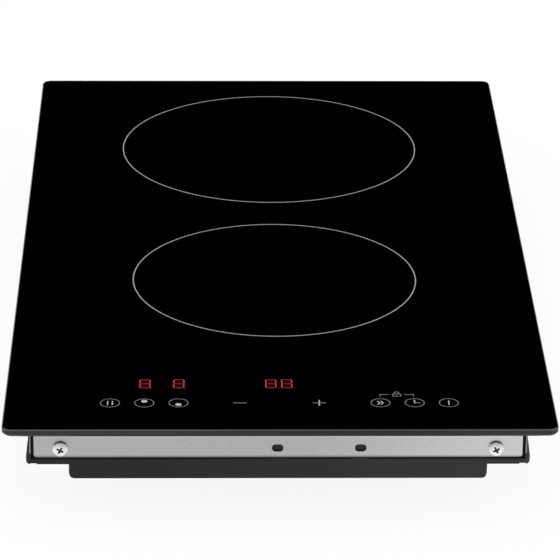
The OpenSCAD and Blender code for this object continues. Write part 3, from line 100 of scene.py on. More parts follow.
class Signal:
    """A shader socket that ordinary arithmetic can be written on."""

    def __init__(self, graph: ShaderGraph, socket: bpy.types.NodeSocket | None) -> None:
        """Wraps a socket.

        Args:
            graph: the graph that the socket's node is in.
            socket: the output socket, or None for a node without outputs.
        """
        self.graph = graph
        self.socket = socket

    def maths(self, operation: str, *others: Any) -> Signal:
        """Adds one Math node that starts from this socket.

        Args:
            operation: the Math node's operation.
            others: its further values or signals.

        Returns:
            The node's result.
        """
        sockets = dict(enumerate((self, *others)))
        return self.graph.add("ShaderNodeMath", {"operation": operation}, sockets)

    def _swapped(self, operation: str, other: Any) -> Signal:
        """Adds one Math node with this socket second."""
        return self.graph.add("ShaderNodeMath", {"operation": operation}, {0: other, 1: self})

    def __add__(self, other: Any) -> Signal:
        """Returns self + other."""
        return self.maths("ADD", other)

    def __sub__(self, other: Any) -> Signal:
        """Returns self - other."""
        return self.maths("SUBTRACT", other)

    def __mul__(self, other: Any) -> Signal:
        """Returns self * other."""
        return self.maths("MULTIPLY", other)

    def __radd__(self, other: Any) -> Signal:
        """Returns other + self."""
        return self._swapped("ADD", other)

    def __rsub__(self, other: Any) -> Signal:
        """Returns other - self."""
        return self._swapped("SUBTRACT", other)

    def __rmul__(self, other: Any) -> Signal:
        """Returns other * self."""
        return self._swapped("MULTIPLY", other)

    def between(
        self, low: float, high: float, from_low: float = 0.0, from_high: float = 1.0
    ) -> Signal:
        """Maps a range of this signal smoothly onto another, held at both ends.

        Args:
            low: the result at from_low.
            high: the result at from_high.
            from_low: the signal's value that gives low.
            from_high: the signal's value that gives high.

        Returns:
            The mapped signal.
        """
        sockets = {
            "Value": self,
            "From Min": from_low,
            "From Max": from_high,
            "To Min": low,
            "To Max": high,
        }
        return self.graph.add("ShaderNodeMapRange", {"interpolation_type": "SMOOTHSTEP"}, sockets)

    def step(self, low: float, high: float) -> Signal:
        """Returns 0 below low, 1 above high and a smooth rise between them."""
        return self.between(0.0, 1.0, low, high)


class ShaderGraph:
    """Adds nodes to one node tree."""

    def __init__(self, tree: bpy.types.NodeTree) -> None:
        """Empties the tree.

        Args:
            tree: the node tree to fill.
        """
        self.tree = tree
        tree.nodes.clear()

    def add(
        self,
        kind: str,
        settings: dict[str, Any] | None = None,
        sockets: dict[int | str, Any] | None = None,
        output: int | str = 0,
    ) -> Signal:
        """Adds one node.

        Args:
            kind: the node's type.
            settings: its settings, set first.
            sockets: the values or signals of its inputs.
            output: the output to return.

        Returns:
            The chosen output.
        """
        node = self.tree.nodes.new(kind)
        for name, value in (settings or {}).items():
            setattr(node, name, value)
        for name, value in (sockets or {}).items():
            if isinstance(value, Signal):
                self.tree.links.new(value.socket, node.inputs[name])
            else:
                node.inputs[name].default_value = value
        return Signal(self, node.outputs[output] if node.outputs else None)

    def where(
        self, stretch: Sequence[float] = (1, 1, 1), centre: Sequence[float] = (0, 0, 0)
    ) -> Signal:
        """Object coordinates, moved to a centre and stretched.

        Args:
            stretch: how much longer a pattern becomes along each axis.
            centre: the point that becomes the pattern's origin.

        Returns:
            The coordinates.
        """
        place = self.add("ShaderNodeTexCoord", output="Object")
        moved = self.add(
            "ShaderNodeVectorMath", {"operation": "SUBTRACT"}, {0: place, 1: tuple(centre)}
        )
        shrink = tuple(1.0 / s for s in stretch)
        return self.add("ShaderNodeVectorMath", {"operation": "MULTIPLY"}, {0: moved, 1: shrink})

    def axes(self, place: Signal) -> tuple[Signal, Signal, Signal]:
        """Splits coordinates.

        Args:
            place: the coordinates.

        Returns:
            X, Y and Z.
        """
        first = self.add("ShaderNodeSeparateXYZ", None, {0: place}, 0)
        outputs = first.socket.node.outputs
        return first, Signal(self, outputs[1]), Signal(self, outputs[2])

    def noise(self, size: float, place: Signal | None = None, detail: float = 2.0) -> Signal:
        """Soft noise from 0 to 1.

        Args:
            size: the size of its patches, in metres.
            place: the coordinates, or None for plain ones.
            detail: octaves of finer noise.

        Returns:
            The noise.
        """
        sockets = {"Vector": place or self.where(), "Scale": 1.0 / size, "Detail": detail}
        return self.add("ShaderNodeTexNoise", None, sockets)

    def cells(self, size: float, place: Signal | None = None, edges: bool = False) -> Signal:
        """A mosaic of cells.

        Args:
            size: the size of a cell, in metres.
            place: the coordinates, or None for plain ones.
            edges: True for the distance to the cells' edges, False for one random value a cell.

        Returns:
            The chosen value.
        """
        feature = "DISTANCE_TO_EDGE" if edges else "F1"
        sockets = {"Vector": place or self.where(), "Scale": 1.0 / size}
        if edges:
            return self.add("ShaderNodeTexVoronoi", {"feature": feature}, sockets)
        tint = self.add("ShaderNodeTexVoronoi", {"feature": feature}, sockets, "Color")
        return self.add("ShaderNodeSeparateColor", None, {0: tint})

    def blend(self, factor: Any, first: Colour | Signal, second: Colour | Signal) -> Signal:
        """Mixes two colours.

        Args:
            factor: the share of the second one.
            first: a colour.
            second: another colour.

        Returns:
            The mixed colour.
        """
        ends = [c if isinstance(c, Signal) else (*c, 1.0) for c in (first, second)]
        sockets = {MIX_FACTOR: factor, MIX_FIRST: ends[0], MIX_SECOND: ends[1]}
        return self.add("ShaderNodeMix", {"data_type": "RGBA"}, sockets, MIX_RESULT)

    def relief(self, height: Signal, depth: float, strength: float = 1.0) -> Signal:
        """Turns a height into a bent normal.

        Args:
            height: the height, from 0 to 1.
            depth: what a height of 1 stands for, in metres.
            strength: how much of it shows.

        Returns:
            The normal.
        """
        sockets = {"Height": height, "Distance": depth, "Strength": strength}
        return self.add("ShaderNodeBump", None, sockets)

    def surface(self, **values: Any) -> None:
        """Ends a material in one Principled shader.

        Args:
            values: its inputs by name, with _ for a space; colours have three numbers.
        """
        sockets = {}
        for name, value in values.items():
            if isinstance(value, tuple) and len(value) == 3:
                value = (*value, 1.0)
            sockets[name.replace("_", " ")] = value
        shader = self.add("ShaderNodeBsdfPrincipled", None, sockets)
        self.add("ShaderNodeOutputMaterial", None, {"Surface": shader})


# ---------------------------------------------------------------- finishes


def toned(tint: Colour, share: float) -> Colour:
    """Returns a colour made darker or paler by a factor."""
    return tuple(c * share for c in tint)


@dataclass(frozen=True)
class Finish:
    """A surface finish. Its material is made the first time it is asked for."""

    name: str

    def material(self) -> bpy.types.Material:
        """Finds the finish's material, or makes it.

        Returns:
            The material.
        """
        found = bpy.data.materials.get(self.name)
        if found is None:
            found = bpy.data.materials.new(self.name)
            found.use_nodes = True
            self.shade(ShaderGraph(found.node_tree))
        return found

    def shade(self, graph: ShaderGraph) -> None:
        """Builds the finish's nodes.

        Args:
            graph: the empty graph of its material.
        """
        raise NotImplementedError


@dataclass(frozen=True)
class PolishedGlass(Finish):
    """Black glass-ceramic, polished, with the faint unevenness of a rolled sheet."""

    tint: Colour = (0.0003, 0.0003, 0.0004)
    wave: float = 0.04
    wave_depth: float = 0.00002

    def shade(self, graph: ShaderGraph) -> None:
        """Builds the finish's nodes.

        Args:
            graph: the empty graph of its material.
        """
        haze = graph.noise(0.006, detail=4.0)
        graph.surface(
            Base_Color=self.tint,
            Roughness=haze.between(0.02, 0.045, 0.35, 0.7),
            IOR=1.5,
            Normal=graph.relief(graph.noise(self.wave, detail=0.0), self.wave_depth),
        )


@dataclass(frozen=True)
class GroundGlass(Finish):
    """The glass's edge, ground then part polished, with a painted reflection paler away from its
    middle.
    """

    tint: Colour = (0.006, 0.006, 0.007)
    bright: Colour = (0.018, 0.018, 0.020)
    gloss: float = 0.33
    grit: float = 0.00025
    dark_x: float = 0.04
    reach: float = 0.13
    palest: float = 0.8
    speckled: float = 0.2

    def shade(self, graph: ShaderGraph) -> None:
        """Builds the finish's nodes.

        Args:
            graph: the empty graph of its material.
        """
        x, _, _ = graph.axes(graph.where())
        speckle = graph.noise(self.grit, detail=3.0)
        # Painted reflection: the edge's colour grows paler away from dark_x, where it looks darkest
        away = (x - self.dark_x).maths("ABSOLUTE").between(0.0, self.palest, 0.0, self.reach)
        graph.surface(
            Base_Color=graph.blend(away + speckle * self.speckled, self.tint, self.bright),
            Roughness=speckle.between(0.22, 0.34, 0.3, 0.7),
            Specular_IOR_Level=self.gloss,
            Normal=graph.relief(speckle, 0.00002, 0.4),
        )


@dataclass(frozen=True)
class Enamel(Finish):
    """Screen-printed enamel, a little worn and uneven in its cover."""

    tint: Colour = (0.34, 0.34, 0.35)
    dot: float = 0.0003
    worn: float = 0.75

    def shade(self, graph: ShaderGraph) -> None:
        """Builds the finish's nodes.

        Args:
            graph: the empty graph of its material.
        """
        dots = graph.cells(self.dot, edges=True)
        cover = graph.noise(0.002, detail=3.0).between(0.88, 1.0, 0.35, 0.6)
        graph.surface(
            Base_Color=graph.blend(cover, toned(self.tint, self.worn), self.tint),
            Roughness=dots.between(0.55, 0.38, 0.0, 0.3),
            Normal=graph.relief(dots, 0.00001, 0.4),
        )


@dataclass(frozen=True)
class LitSegment(Finish):
    """A part of a red digit seen through dark glass: its core, its rim or the glow round it."""

    glow: Colour = (0.34, 0.055, 0.065)
    core: Colour = (0.46, 0.11, 0.12)
    unlit: Colour = (0.02, 0.0, 0.0)

    def shade(self, graph: ShaderGraph) -> None:
        """Builds the finish's nodes.

        Args:
            graph: the empty graph of its material.
        """
        mottle = graph.noise(0.0008, detail=1.0).step(0.35, 0.65)
        graph.surface(
            Base_Color=self.unlit,
            Roughness=0.2,
            Emission_Color=graph.blend(mottle, self.glow, self.core),
            Emission_Strength=1.0,
        )


@dataclass(frozen=True)
class GalvanisedSheet(Finish):
    """Galvanised steel sheet: fine spangle, faint rolling lines along X, soft sheen, painted light
    and shade.
    """

    dark: Colour = (0.393, 0.393, 0.393)
    light: Colour = (0.652, 0.652, 0.647)
    spangle: float = 0.0011
    # Painted shade: a dark colour along the sheet's lower edge, over the gap under it
    painted_shade: Colour = (0.10, 0.10, 0.105)
    # Painted light: the sheet grows paler between these two X values
    brighter_from: float = 0.0
    brighter_to: float = 0.15
    # The band where that painted shade along the lower edge gives way
    painted_shade_z: float = 0.0332
    painted_shade_h: float = 0.0018
    # A band of painted light along the sheet's top, where the glass above shades it
    painted_light_z: float = 0.0438
    painted_light_h: float = 0.0015
    rolled: tuple[float, float, float] = (14, 1, 1)

    def shade(self, graph: ShaderGraph) -> None:
        """Builds the finish's nodes.

        Args:
            graph: the empty graph of its material.
        """
        x, _, z = graph.axes(graph.where())
        # Painted light: coat is only a ramp that makes the sheet paler towards +X
        coat = x.step(self.brighter_from, self.brighter_to)
        # Painted light along the top of the sheet, under the glass
        painted_light_under_glass = z.between(0.0, 0.2, self.painted_light_z, self.painted_light_z + self.painted_light_h)
        crystals = graph.cells(self.spangle)
        cloud = graph.noise(0.009, detail=3.0)
        lines = graph.noise(0.0005, graph.where(self.rolled), 2.0)
        grain = graph.noise(0.0004, detail=2.0)
        tone = crystals * 0.22 + cloud * 0.2 + lines * 0.1 + coat * 0.74 + painted_light_under_glass
        plain = graph.blend(tone, self.dark, self.light)
        # Painted shade along the lower edge of the sheet
        above = z.step(self.painted_shade_z, self.painted_shade_z + self.painted_shade_h)
        graph.surface(
            Base_Color=graph.blend(above, self.painted_shade, plain),
            Metallic=1.0,
            Roughness=(crystals * 0.5 + cloud * 0.5).between(0.36, 0.46, 0.2, 0.8),
            Normal=graph.relief(lines * 0.3 + grain * 0.7, 0.000008, 0.6),
        )


@dataclass(frozen=True)
class PlatedSteel(Finish):
    """Plated or drawn steel with fine turning or drawing marks."""

    tint: Colour = (0.80, 0.81, 0.83)
    roughness: float = 0.22
    metallic: float = 1.0
    dull: float = 0.86
    worn: float = 0.12

    def shade(self, graph: ShaderGraph) -> None:
        """Builds the finish's nodes.

        Args:
            graph: the empty graph of its material.
        """
        grain = graph.noise(0.0004, detail=3.0)
        patch = graph.noise(0.003, detail=2.0)
        dull = toned(self.tint, self.dull)
        graph.surface(
            Base_Color=graph.blend(patch.step(0.4, 0.65), self.tint, dull),
            Metallic=self.metallic,
            Roughness=grain.between(self.roughness, self.roughness + self.worn, 0.35, 0.7),
            Normal=graph.relief(grain, 0.00001, 0.5),
        )


@dataclass(frozen=True)
class BrushedSheet(Finish):
    """Rolled or brushed sheet with fine lines along one axis."""

    tint: Colour = (0.72, 0.73, 0.74)
    stretch: tuple[float, float, float] = (1.0, 60.0, 1.0)
    roughness: float = 0.3
    metallic: float = 0.8
    dull: float = 0.82
    worn: float = 0.18

    def shade(self, graph: ShaderGraph) -> None:
        """Builds the finish's nodes.

        Args:
            graph: the empty graph of its material.
        """
        lines = graph.noise(0.0005, graph.where(self.stretch), 3.0)
        patch = graph.noise(0.02, detail=2.0)
        wear = lines * 0.6 + patch * 0.4
        graph.surface(
            Base_Color=graph.blend(lines.step(0.3, 0.7), toned(self.tint, self.dull), self.tint),
            Metallic=self.metallic,
            Roughness=wear.between(self.roughness, self.roughness + self.worn, 0.3, 0.7),
            Normal=graph.relief(lines, 0.00002, 0.6),
        )


@dataclass(frozen=True)
class MouldedPlastic(Finish):
    """Moulded plastic with a spark-eroded grain and slightly uneven gloss."""

    tint: Colour = (0.016, 0.016, 0.017)
    grain: float = 0.0005
    depth: float = 0.00004
    roughness: float = 0.5
    gloss: float = 0.4
    smoother: float = 0.06
    rougher: float = 0.08

    def shade(self, graph: ShaderGraph) -> None:
        """Builds the finish's nodes.

        Args:
            graph: the empty graph of its material.
        """
        pits = graph.cells(self.grain, edges=True)
        soft = graph.noise(self.grain * 2.5, detail=3.0)
        patch = graph.noise(0.03, detail=2.0)
        lighter = tuple(c * 1.25 + 0.001 for c in self.tint)
        height = pits.step(0.0, 0.35) * 0.5 + soft * 0.5
        low, high = self.roughness - self.smoother, self.roughness + self.rougher
        graph.surface(
            Base_Color=graph.blend(patch.step(0.35, 0.65), self.tint, lighter),
            Roughness=(soft * 0.5 + patch * 0.5).between(low, high, 0.3, 0.7),
            Specular_IOR_Level=self.gloss,
            Normal=graph.relief(height, self.depth, 0.6),
        )


@dataclass(frozen=True)
class TrayMoulding(Finish):
    """The tray's plastic: fine grain, painted light towards +X, a glossy rib with a painted
    highlight beside each end of a rail, and painted shade in the recess.
    """

    tint: Colour = (0.0095, 0.0098, 0.0108)
    # The colour of the painted light towards +X, which random patches also reach
    pale: Colour = (0.0275, 0.0280, 0.0300)
    # A painted highlight on the rib beside each end of a rail
    rib: Colour = (0.24, 0.24, 0.25)
    # Painted shade: near black in the recess behind the rails and on the ledge's top edge
    dull: Colour = (0.0006, 0.0006, 0.0006)
    middle_x: float = -0.0008
    rib_x: float = 0.1290
    rib_w: float = 0.0008
    rib_z: float = 0.0352
    face_y: float = 0.2458
    recess_y: float = 0.2444
    ledge_z: float = 0.0323
    slot_xs: tuple[float, ...] = (-0.0012, 0.0421)
    slot_reach: float = 0.0045
    pit: float = 0.0005
    pit_depth: float = 0.00003

    def shade(self, graph: ShaderGraph) -> None:
        """Builds the finish's nodes.

        Args:
            graph: the empty graph of its material.
        """
        x, y, z = graph.axes(graph.where())
        aside = (x - self.middle_x).maths("ABSOLUTE")
        ahead = y.maths("ABSOLUTE")
        above = z.maths("GREATER_THAN", self.ledge_z)
        past = aside.maths("GREATER_THAN", self.rib_x)
        beside = past * aside.maths("LESS_THAN", self.rib_x + self.rib_w)
        # The rib where the painted highlight goes
        rib = beside * z.step(self.rib_z, self.rib_z + 0.001)
        rib = rib * ahead.maths("GREATER_THAN", self.face_y)
        inner = aside.maths("LESS_THAN", self.rib_x)
        # Where painted shade goes: the recess and the ledge's top edge, but not behind the slots
        dull = ahead.maths("GREATER_THAN", self.recess_y) * above * inner
        for slot_x in self.slot_xs:
            dull = dull * (x - slot_x).maths("ABSOLUTE").maths("GREATER_THAN", self.slot_reach)
        pits = graph.cells(self.pit, edges=True).step(0.0, 0.35)
        soft = graph.noise(self.pit * 2.4, detail=3.0)
        patch = graph.noise(0.03, detail=2.0)
        # Painted light growing towards +X, plus random patches
        painted_light_and_patches = x.between(0.0, 0.8, -self.rib_x, self.rib_x) + patch.between(0.0, 0.2, 0.35, 0.65)
        plain = graph.blend(painted_light_and_patches, self.tint, self.pale)
        graph.surface(
            # Painted highlight on the rib and painted shade in the recess over the plain plastic
            Base_Color=graph.blend(dull, graph.blend(rib, plain, self.rib), self.dull),
            Roughness=(soft * 0.5 + patch * 0.5).between(0.44, 0.58, 0.3, 0.7) * (1.0 - rib * 0.4),
            Specular_IOR_Level=0.22,
            Coat_Weight=rib,
            Coat_Roughness=0.2,
            Normal=graph.relief(pits * 0.5 + soft * 0.5, self.pit_depth, 0.6),
        )


@dataclass(frozen=True)
class Foam(Finish):
    """Closed-cell foam or soft rubber: a skin of small cells."""

    tint: Colour = (0.022, 0.022, 0.023)
    cell: float = 0.0006
    depth: float = 0.00015
    pale: float = 1.8

    def shade(self, graph: ShaderGraph) -> None:
        """Builds the finish's nodes.

        Args:
            graph: the empty graph of its material.
        """
        walls = graph.cells(self.cell, edges=True).step(0.0, 0.3)
        graph.surface(
            Base_Color=graph.blend(walls, toned(self.tint, self.pale), self.tint),
            Roughness=walls.between(0.7, 0.9),
            Normal=graph.relief(1.0 - walls, self.depth, 0.6),
        )


@dataclass(frozen=True)
class FibreFelt(Finish):
    """Pressed ceramic fibre: matted strands that run every way."""

    tint: Colour = (0.80, 0.77, 0.70)
    strand: float = 0.0006
    deep: float = 0.62

    def shade(self, graph: ShaderGraph) -> None:
        """Builds the finish's nodes.

        Args:
            graph: the empty graph of its material.
        """
        across = graph.noise(self.strand, graph.where((12, 1, 1)), 3.0)
        along = graph.noise(self.strand, graph.where((1, 12, 1)), 3.0)
        lumps = graph.noise(0.006, detail=4.0)
        height = across.maths("MAXIMUM", along) * 0.7 + lumps * 0.3
        graph.surface(
            Base_Color=graph.blend(height.step(0.4, 0.7), toned(self.tint, self.deep), self.tint),
            Roughness=height.between(0.98, 0.85, 0.4, 0.7),
            Normal=graph.relief(height, 0.0005, 0.8),
        )


@dataclass(frozen=True)
class LitzCopper(Finish):
    """Twisted strands of enamelled copper wire, laid round a coil's centre."""

    centre: tuple[float, float, float] = (0.0, 0.0, 0.0)
    tint: Colour = (0.56, 0.20, 0.07)
    strand: float = 0.0009
    twist: float = 1.4
    deep: float = 0.4

    def shade(self, graph: ShaderGraph) -> None:
        """Builds the finish's nodes.

        Args:
            graph: the empty graph of its material.
        """
        x, y, z = graph.axes(graph.where(centre=self.centre))
        radius = (x * x + y * y).maths("SQRT")
        along = y.maths("ARCTAN2", x) * radius
        phase = (along + radius * self.twist + z * self.twist) * (math.tau / self.strand)
        strands = phase.maths("SINE") * 0.5 + 0.5
        patch = graph.noise(0.004, detail=2.0)
        deep = toned(self.tint, self.deep)
        graph.surface(
            Base_Color=graph.blend(strands * 0.7 + patch * 0.3, deep, self.tint),
            Metallic=0.85,
            Roughness=strands.between(0.5, 0.3),
            Normal=graph.relief(strands, 0.0002, 0.7),
        )


@dataclass(frozen=True)
class Sintered(Finish):
    """A pressed and fired body, such as ferrite or a ceramic: fine speckle and small pores."""

    tint: Colour = (0.055, 0.055, 0.060)
    roughness: float = 0.6
    speckled: float = 1.5

    def shade(self, graph: ShaderGraph) -> None:
        """Builds the finish's nodes.

        Args:
            graph: the empty graph of its material.
        """
        speck = graph.noise(0.0003, detail=4.0)
        pores = graph.noise(0.0016, detail=1.0).step(0.28, 0.36)
        pale = toned(self.tint, self.speckled)
        graph.surface(
            Base_Color=graph.blend(speck.step(0.3, 0.7), self.tint, pale),
            Roughness=speck.between(self.roughness - 0.08, self.roughness + 0.1, 0.3, 0.7),
            Normal=graph.relief(pores * 0.6 + speck * 0.4, 0.0001, 0.6),
        )


@dataclass(frozen=True)
class SolderMask(Finish):
    """A printed board: green mask over copper tracks that run in short straight lengths."""

    tint: Colour = (0.006, 0.075, 0.028)
    track: Colour = (0.015, 0.15, 0.05)
    run: float = 0.009
    row: float = 0.0022
    gap: float = 0.0004
    pad: float = 0.0045

    def shade(self, graph: ShaderGraph) -> None:
        """Builds the finish's nodes.

        Args:
            graph: the empty graph of its material.
        """
        sockets = {
            "Vector": graph.where(),
            "Scale": 1.0,
            "Mortar Size": self.gap,
            "Mortar Smooth": 0.2,
            "Brick Width": self.run,
            "Row Height": self.row,
        }
        lines = graph.add("ShaderNodeTexBrick", {"offset": 0.37, "squash": 1.6}, sockets, "Fac")
        pads = graph.cells(self.pad).step(0.86, 0.9)
        copper = lines.maths("MAXIMUM", pads)
        patch = graph.noise(0.02, detail=2.0)
        graph.surface(
            Base_Color=graph.blend(copper, self.tint, self.track),
            Roughness=patch.between(0.25, 0.38, 0.3, 0.7),
            Coat_Weight=0.3,
            Normal=graph.relief(copper, 0.00005, 0.6),
        )


@dataclass(frozen=True)
class GlossyCase(Finish):
    """A dipped or moulded component case with a soft gloss."""

    tint: Colour = (0.60, 0.40, 0.04)
    roughness: float = 0.32
    deep: float = 0.78
    worn: float = 0.12

    def shade(self, graph: ShaderGraph) -> None:
        """Builds the finish's nodes.

        Args:
            graph: the empty graph of its material.
        """
        orange = graph.noise(0.0012, detail=2.0)
        patch = graph.noise(0.01, detail=3.0)
        deep = toned(self.tint, self.deep)
        graph.surface(
            Base_Color=graph.blend(patch.step(0.35, 0.65), deep, self.tint),
            Roughness=patch.between(self.roughness, self.roughness + self.worn, 0.3, 0.7),
            Normal=graph.relief(orange, 0.00006, 0.5),
        )


@dataclass(frozen=True)
class Laminations(Finish):
    """A stack of thin pressed sheets, seen from the side as fine lines."""

    tint: Colour = (0.30, 0.27, 0.20)
    sheet: float = 0.0005
    deep: float = 0.5

    def shade(self, graph: ShaderGraph) -> None:
        """Builds the finish's nodes.

        Args:
            graph: the empty graph of its material.
        """
        _, _, z = graph.axes(graph.where())
        lines = (z * (math.tau / self.sheet)).maths("SINE") * 0.5 + 0.5
        rust = graph.noise(0.004, detail=4.0)
        deep = toned(self.tint, self.deep)
        graph.surface(
            Base_Color=graph.blend(lines * 0.6 + rust * 0.4, deep, self.tint),
            Metallic=0.7,
            Roughness=rust.between(0.4, 0.6, 0.3, 0.7),
            Normal=graph.relief(lines, 0.00008, 0.6),
        )


@dataclass(frozen=True)
class RibbonCable(Finish):
    """Flat cable: ribs that run with it, and one marked edge."""

    edge_x: float = -0.011
    rib: float = 0.00127
    tint: Colour = (0.42, 0.42, 0.41)
    mark: Colour = (0.30, 0.03, 0.03)
    groove: float = 0.7

    def shade(self, graph: ShaderGraph) -> None:
        """Builds the finish's nodes.

        Args:
            graph: the empty graph of its material.
        """
        x, _, _ = graph.axes(graph.where())
        ribs = (x * (math.tau / self.rib)).maths("SINE") * 0.5 + 0.5
        first = x.maths("LESS_THAN", self.edge_x)
        tone = graph.blend(ribs, toned(self.tint, self.groove), self.tint)
        graph.surface(
            Base_Color=graph.blend(first, tone, self.mark),
            Roughness=ribs.between(0.55, 0.4),
            Normal=graph.relief(ribs, 0.0003, 0.7),
        )


class Finishes(Enum):
    """The finishes that more than one piece wears."""

    GLASS = PolishedGlass("polished black glass")
    GROUND = GroundGlass("ground glass edge")
    # Paler copy of the edge finish, a painted highlight on the upward bevel; the next is a darker
    # copy, painted shade on the downward arris
    BEVEL = GroundGlass("ground glass bevel", (0.030, 0.030, 0.033), (0.060, 0.060, 0.064), 0.5)
    PAINTED_SHADE_ARRIS = GroundGlass("ground glass arris", (0.003, 0.003, 0.003), (0.008, 0.008, 0.009), 0.14)
    ENAMEL = Enamel("printed enamel")
    LIT = LitSegment("lit segment")
    LIT_RIM = LitSegment("lit segment rim", (0.13, 0.002, 0.003), (0.17, 0.004, 0.005))
    LIT_GLOW = LitSegment("glow round a digit", (0.003, 0.0, 0.0), (0.005, 0.0, 0.0))
    FINE_PRINT = Enamel("fine printed lines", (0.27, 0.27, 0.27))
    BOLD_PRINT = Enamel("bold printed symbols", (0.42, 0.42, 0.42))
    GALVANISED = GalvanisedSheet("galvanised sheet")
    ZINC = PlatedSteel("bright zinc plate")
    BRIGHT_ZINC = PlatedSteel("satin zinc plate", (0.93, 0.94, 0.96), 0.3, 0.15)
    # Painted shade in a screw's cross recess
    PAINTED_SHADE_RECESS = PlatedSteel("dull recess", (0.09, 0.095, 0.105), 0.5, 0.5)
    # A screw rim's painted dark reflection above and painted shade below
    PAINTED_SHADE_RIM = PlatedSteel("dull zinc rim", (0.40, 0.41, 0.43), 0.5, 0.3)
    WIRE = PlatedSteel("drawn spring wire", (0.52, 0.53, 0.55), 0.3)
    TIN = PlatedSteel("tinned copper", (0.70, 0.69, 0.67), 0.28)
    GILT = PlatedSteel("gilt spring wire", (0.78, 0.56, 0.22), 0.25)
    TRAY = TrayMoulding("graphite moulding")
    BOX = MouldedPlastic("black box moulding", (0.014, 0.014, 0.015), 0.0007, 0.00005, 0.45)
    FAN = MouldedPlastic("black fan moulding", (0.012, 0.012, 0.013), 0.0004, 0.00002, 0.36)
    FRAME = MouldedPlastic("grey frame moulding", (0.05, 0.05, 0.055), 0.0006, 0.00003, 0.5)
    CREAM = MouldedPlastic("cream carrier moulding", (0.62, 0.57, 0.46), 0.0008, 0.00005, 0.48)
    IVORY = MouldedPlastic("ivory block moulding", (0.68, 0.64, 0.54), 0.0006, 0.00003, 0.4)
    EPOXY = MouldedPlastic("black epoxy case", (0.010, 0.010, 0.010), 0.0003, 0.00002, 0.42)
    FOAM = Foam("foam tape")
    RUBBER = Foam("rubber bush", (0.012, 0.012, 0.012), 0.0003, 0.00003)
    SILICONE = GlossyCase("grey silicone", (0.045, 0.045, 0.048), 0.4)
    CAP = GlossyCase("pale silicone cap", (0.68, 0.68, 0.66), 0.45)
    FELT = FibreFelt("ceramic fibre felt")
    ALUMINIUM = BrushedSheet("rolled aluminium")
    EXTRUSION = BrushedSheet("extruded aluminium", (0.66, 0.67, 0.68), (1.0, 40.0, 1.0), 0.34)
    FERRITE = Sintered("sintered ferrite")
    PORCELAIN = Sintered("fuse porcelain", (0.66, 0.64, 0.60), 0.35)
    BOARD = SolderMask("green solder mask")
    FILM = GlossyCase("yellow film case")
    DISC = GlossyCase("blue ceramic coat", (0.03, 0.12, 0.34), 0.34)
    SLEEVE = GlossyCase("dark capacitor sleeve", (0.012, 0.013, 0.022), 0.28)
    STRIPE = GlossyCase("pale sleeve stripe", (0.42, 0.42, 0.44), 0.3)
    MOTOR = Laminations("motor laminations")
    RIBBON = RibbonCable("grey flat cable")
    RED_LEAD = GlossyCase("red silicone lead", (0.42, 0.02, 0.015), 0.42)
    BROWN_LEAD = GlossyCase("brown lead", (0.07, 0.025, 0.010), 0.4)
    BLUE_LEAD = GlossyCase("blue lead", (0.015, 0.06, 0.30), 0.4)
    EARTH_LEAD = GlossyCase("green earth lead", (0.05, 0.25, 0.03), 0.4)
    CHOKE_WIRE = PlatedSteel("enamelled choke wire", (0.48, 0.16, 0.05), 0.3)
    CHOKE_CORE = Sintered("coated choke core", (0.03, 0.12, 0.08), 0.5)


# ---------------------------------------------------------------- modelling


class Axis(IntEnum):
    """An axis of the frame."""

    X = 0
    Y = 1
    Z = 2


def block(bm: BMesh, low: Vector, high: Vector) -> list[BMVert]:
    """Adds a box.

    Args:
        bm: the mesh to add to.
        low: its lowest corner.
        high: its highest corner.

    Returns:
        Its vertices.
    """
    middle, size = (low + high) / 2, high - low
    matrix = Matrix.Translation(middle) @ Matrix.Diagonal((*size, 1.0))
    return bmesh.ops.create_cube(bm, size=1.0, matrix=matrix)["verts"]


def rod(
    bm: BMesh, centre: Vector, radius: float, length: float, axis: Axis = Axis.Z, sides: int = 48
) -> list[BMVert]:
    """Adds a cylinder.

    Args:
        bm: the mesh to add to.
        centre: its middle.
        radius: its radius.
        length: its length.
        axis: the axis that it lies along.
        sides: how many sides it has.

    Returns:
        Its vertices.
    """
    quarter = math.pi / 2
    turns = {Axis.X: Matrix.Rotation(quarter, 4, "Y"), Axis.Y: Matrix.Rotation(-quarter, 4, "X")}
    matrix = Matrix.Translation(centre) @ turns.get(axis, Matrix.Identity(4))
    made = bmesh.ops.create_cone(
        bm, cap_ends=True, segments=sides, radius1=radius, radius2=radius, depth=length,
        matrix=matrix,
    )
    return made["verts"]


def prism(bm: BMesh, outline: Iterable[Vector], push: Vector) -> set[BMFace]:
    """Adds a solid between a flat outline and its copy.

    Args:
        bm: the mesh to add to.
        outline: the outline's points in order.
        push: the way from the outline to its copy.

    Returns:
        Its faces.
    """
    verts = [bm.verts.new(point) for point in outline]
    base = bm.faces.new(verts)
    grown = bmesh.ops.extrude_face_region(bm, geom=[base])["geom"]
    moved = [v for v in grown if isinstance(v, BMVert)]
    bmesh.ops.translate(bm, verts=moved, vec=push)
    return {f for v in (*moved, *verts) if v.is_valid for f in v.link_faces}


def turned(bm: BMesh, profile: Sequence[Point], steps: int = 48) -> None:
    """Adds a body turned about Z.

    Args:
        bm: the mesh to add to.
        profile: (radius, height) points, in order along the outline.
        steps: how many steps the full turn takes.
    """
    before = set(bm.verts)
    points = [bm.verts.new((radius, 0.0, height)) for radius, height in profile]
    edges = [bm.edges.new(pair) for pair in zip(points, points[1:])]
    bmesh.ops.spin(
        bm, geom=points + edges, axis=(0, 0, 1), cent=(0, 0, 0), angle=math.tau, steps=steps,
        use_merge=True,
    )
    body = [v for v in bm.verts if v not in before]
    bmesh.ops.remove_doubles(bm, verts=body, dist=WELD)


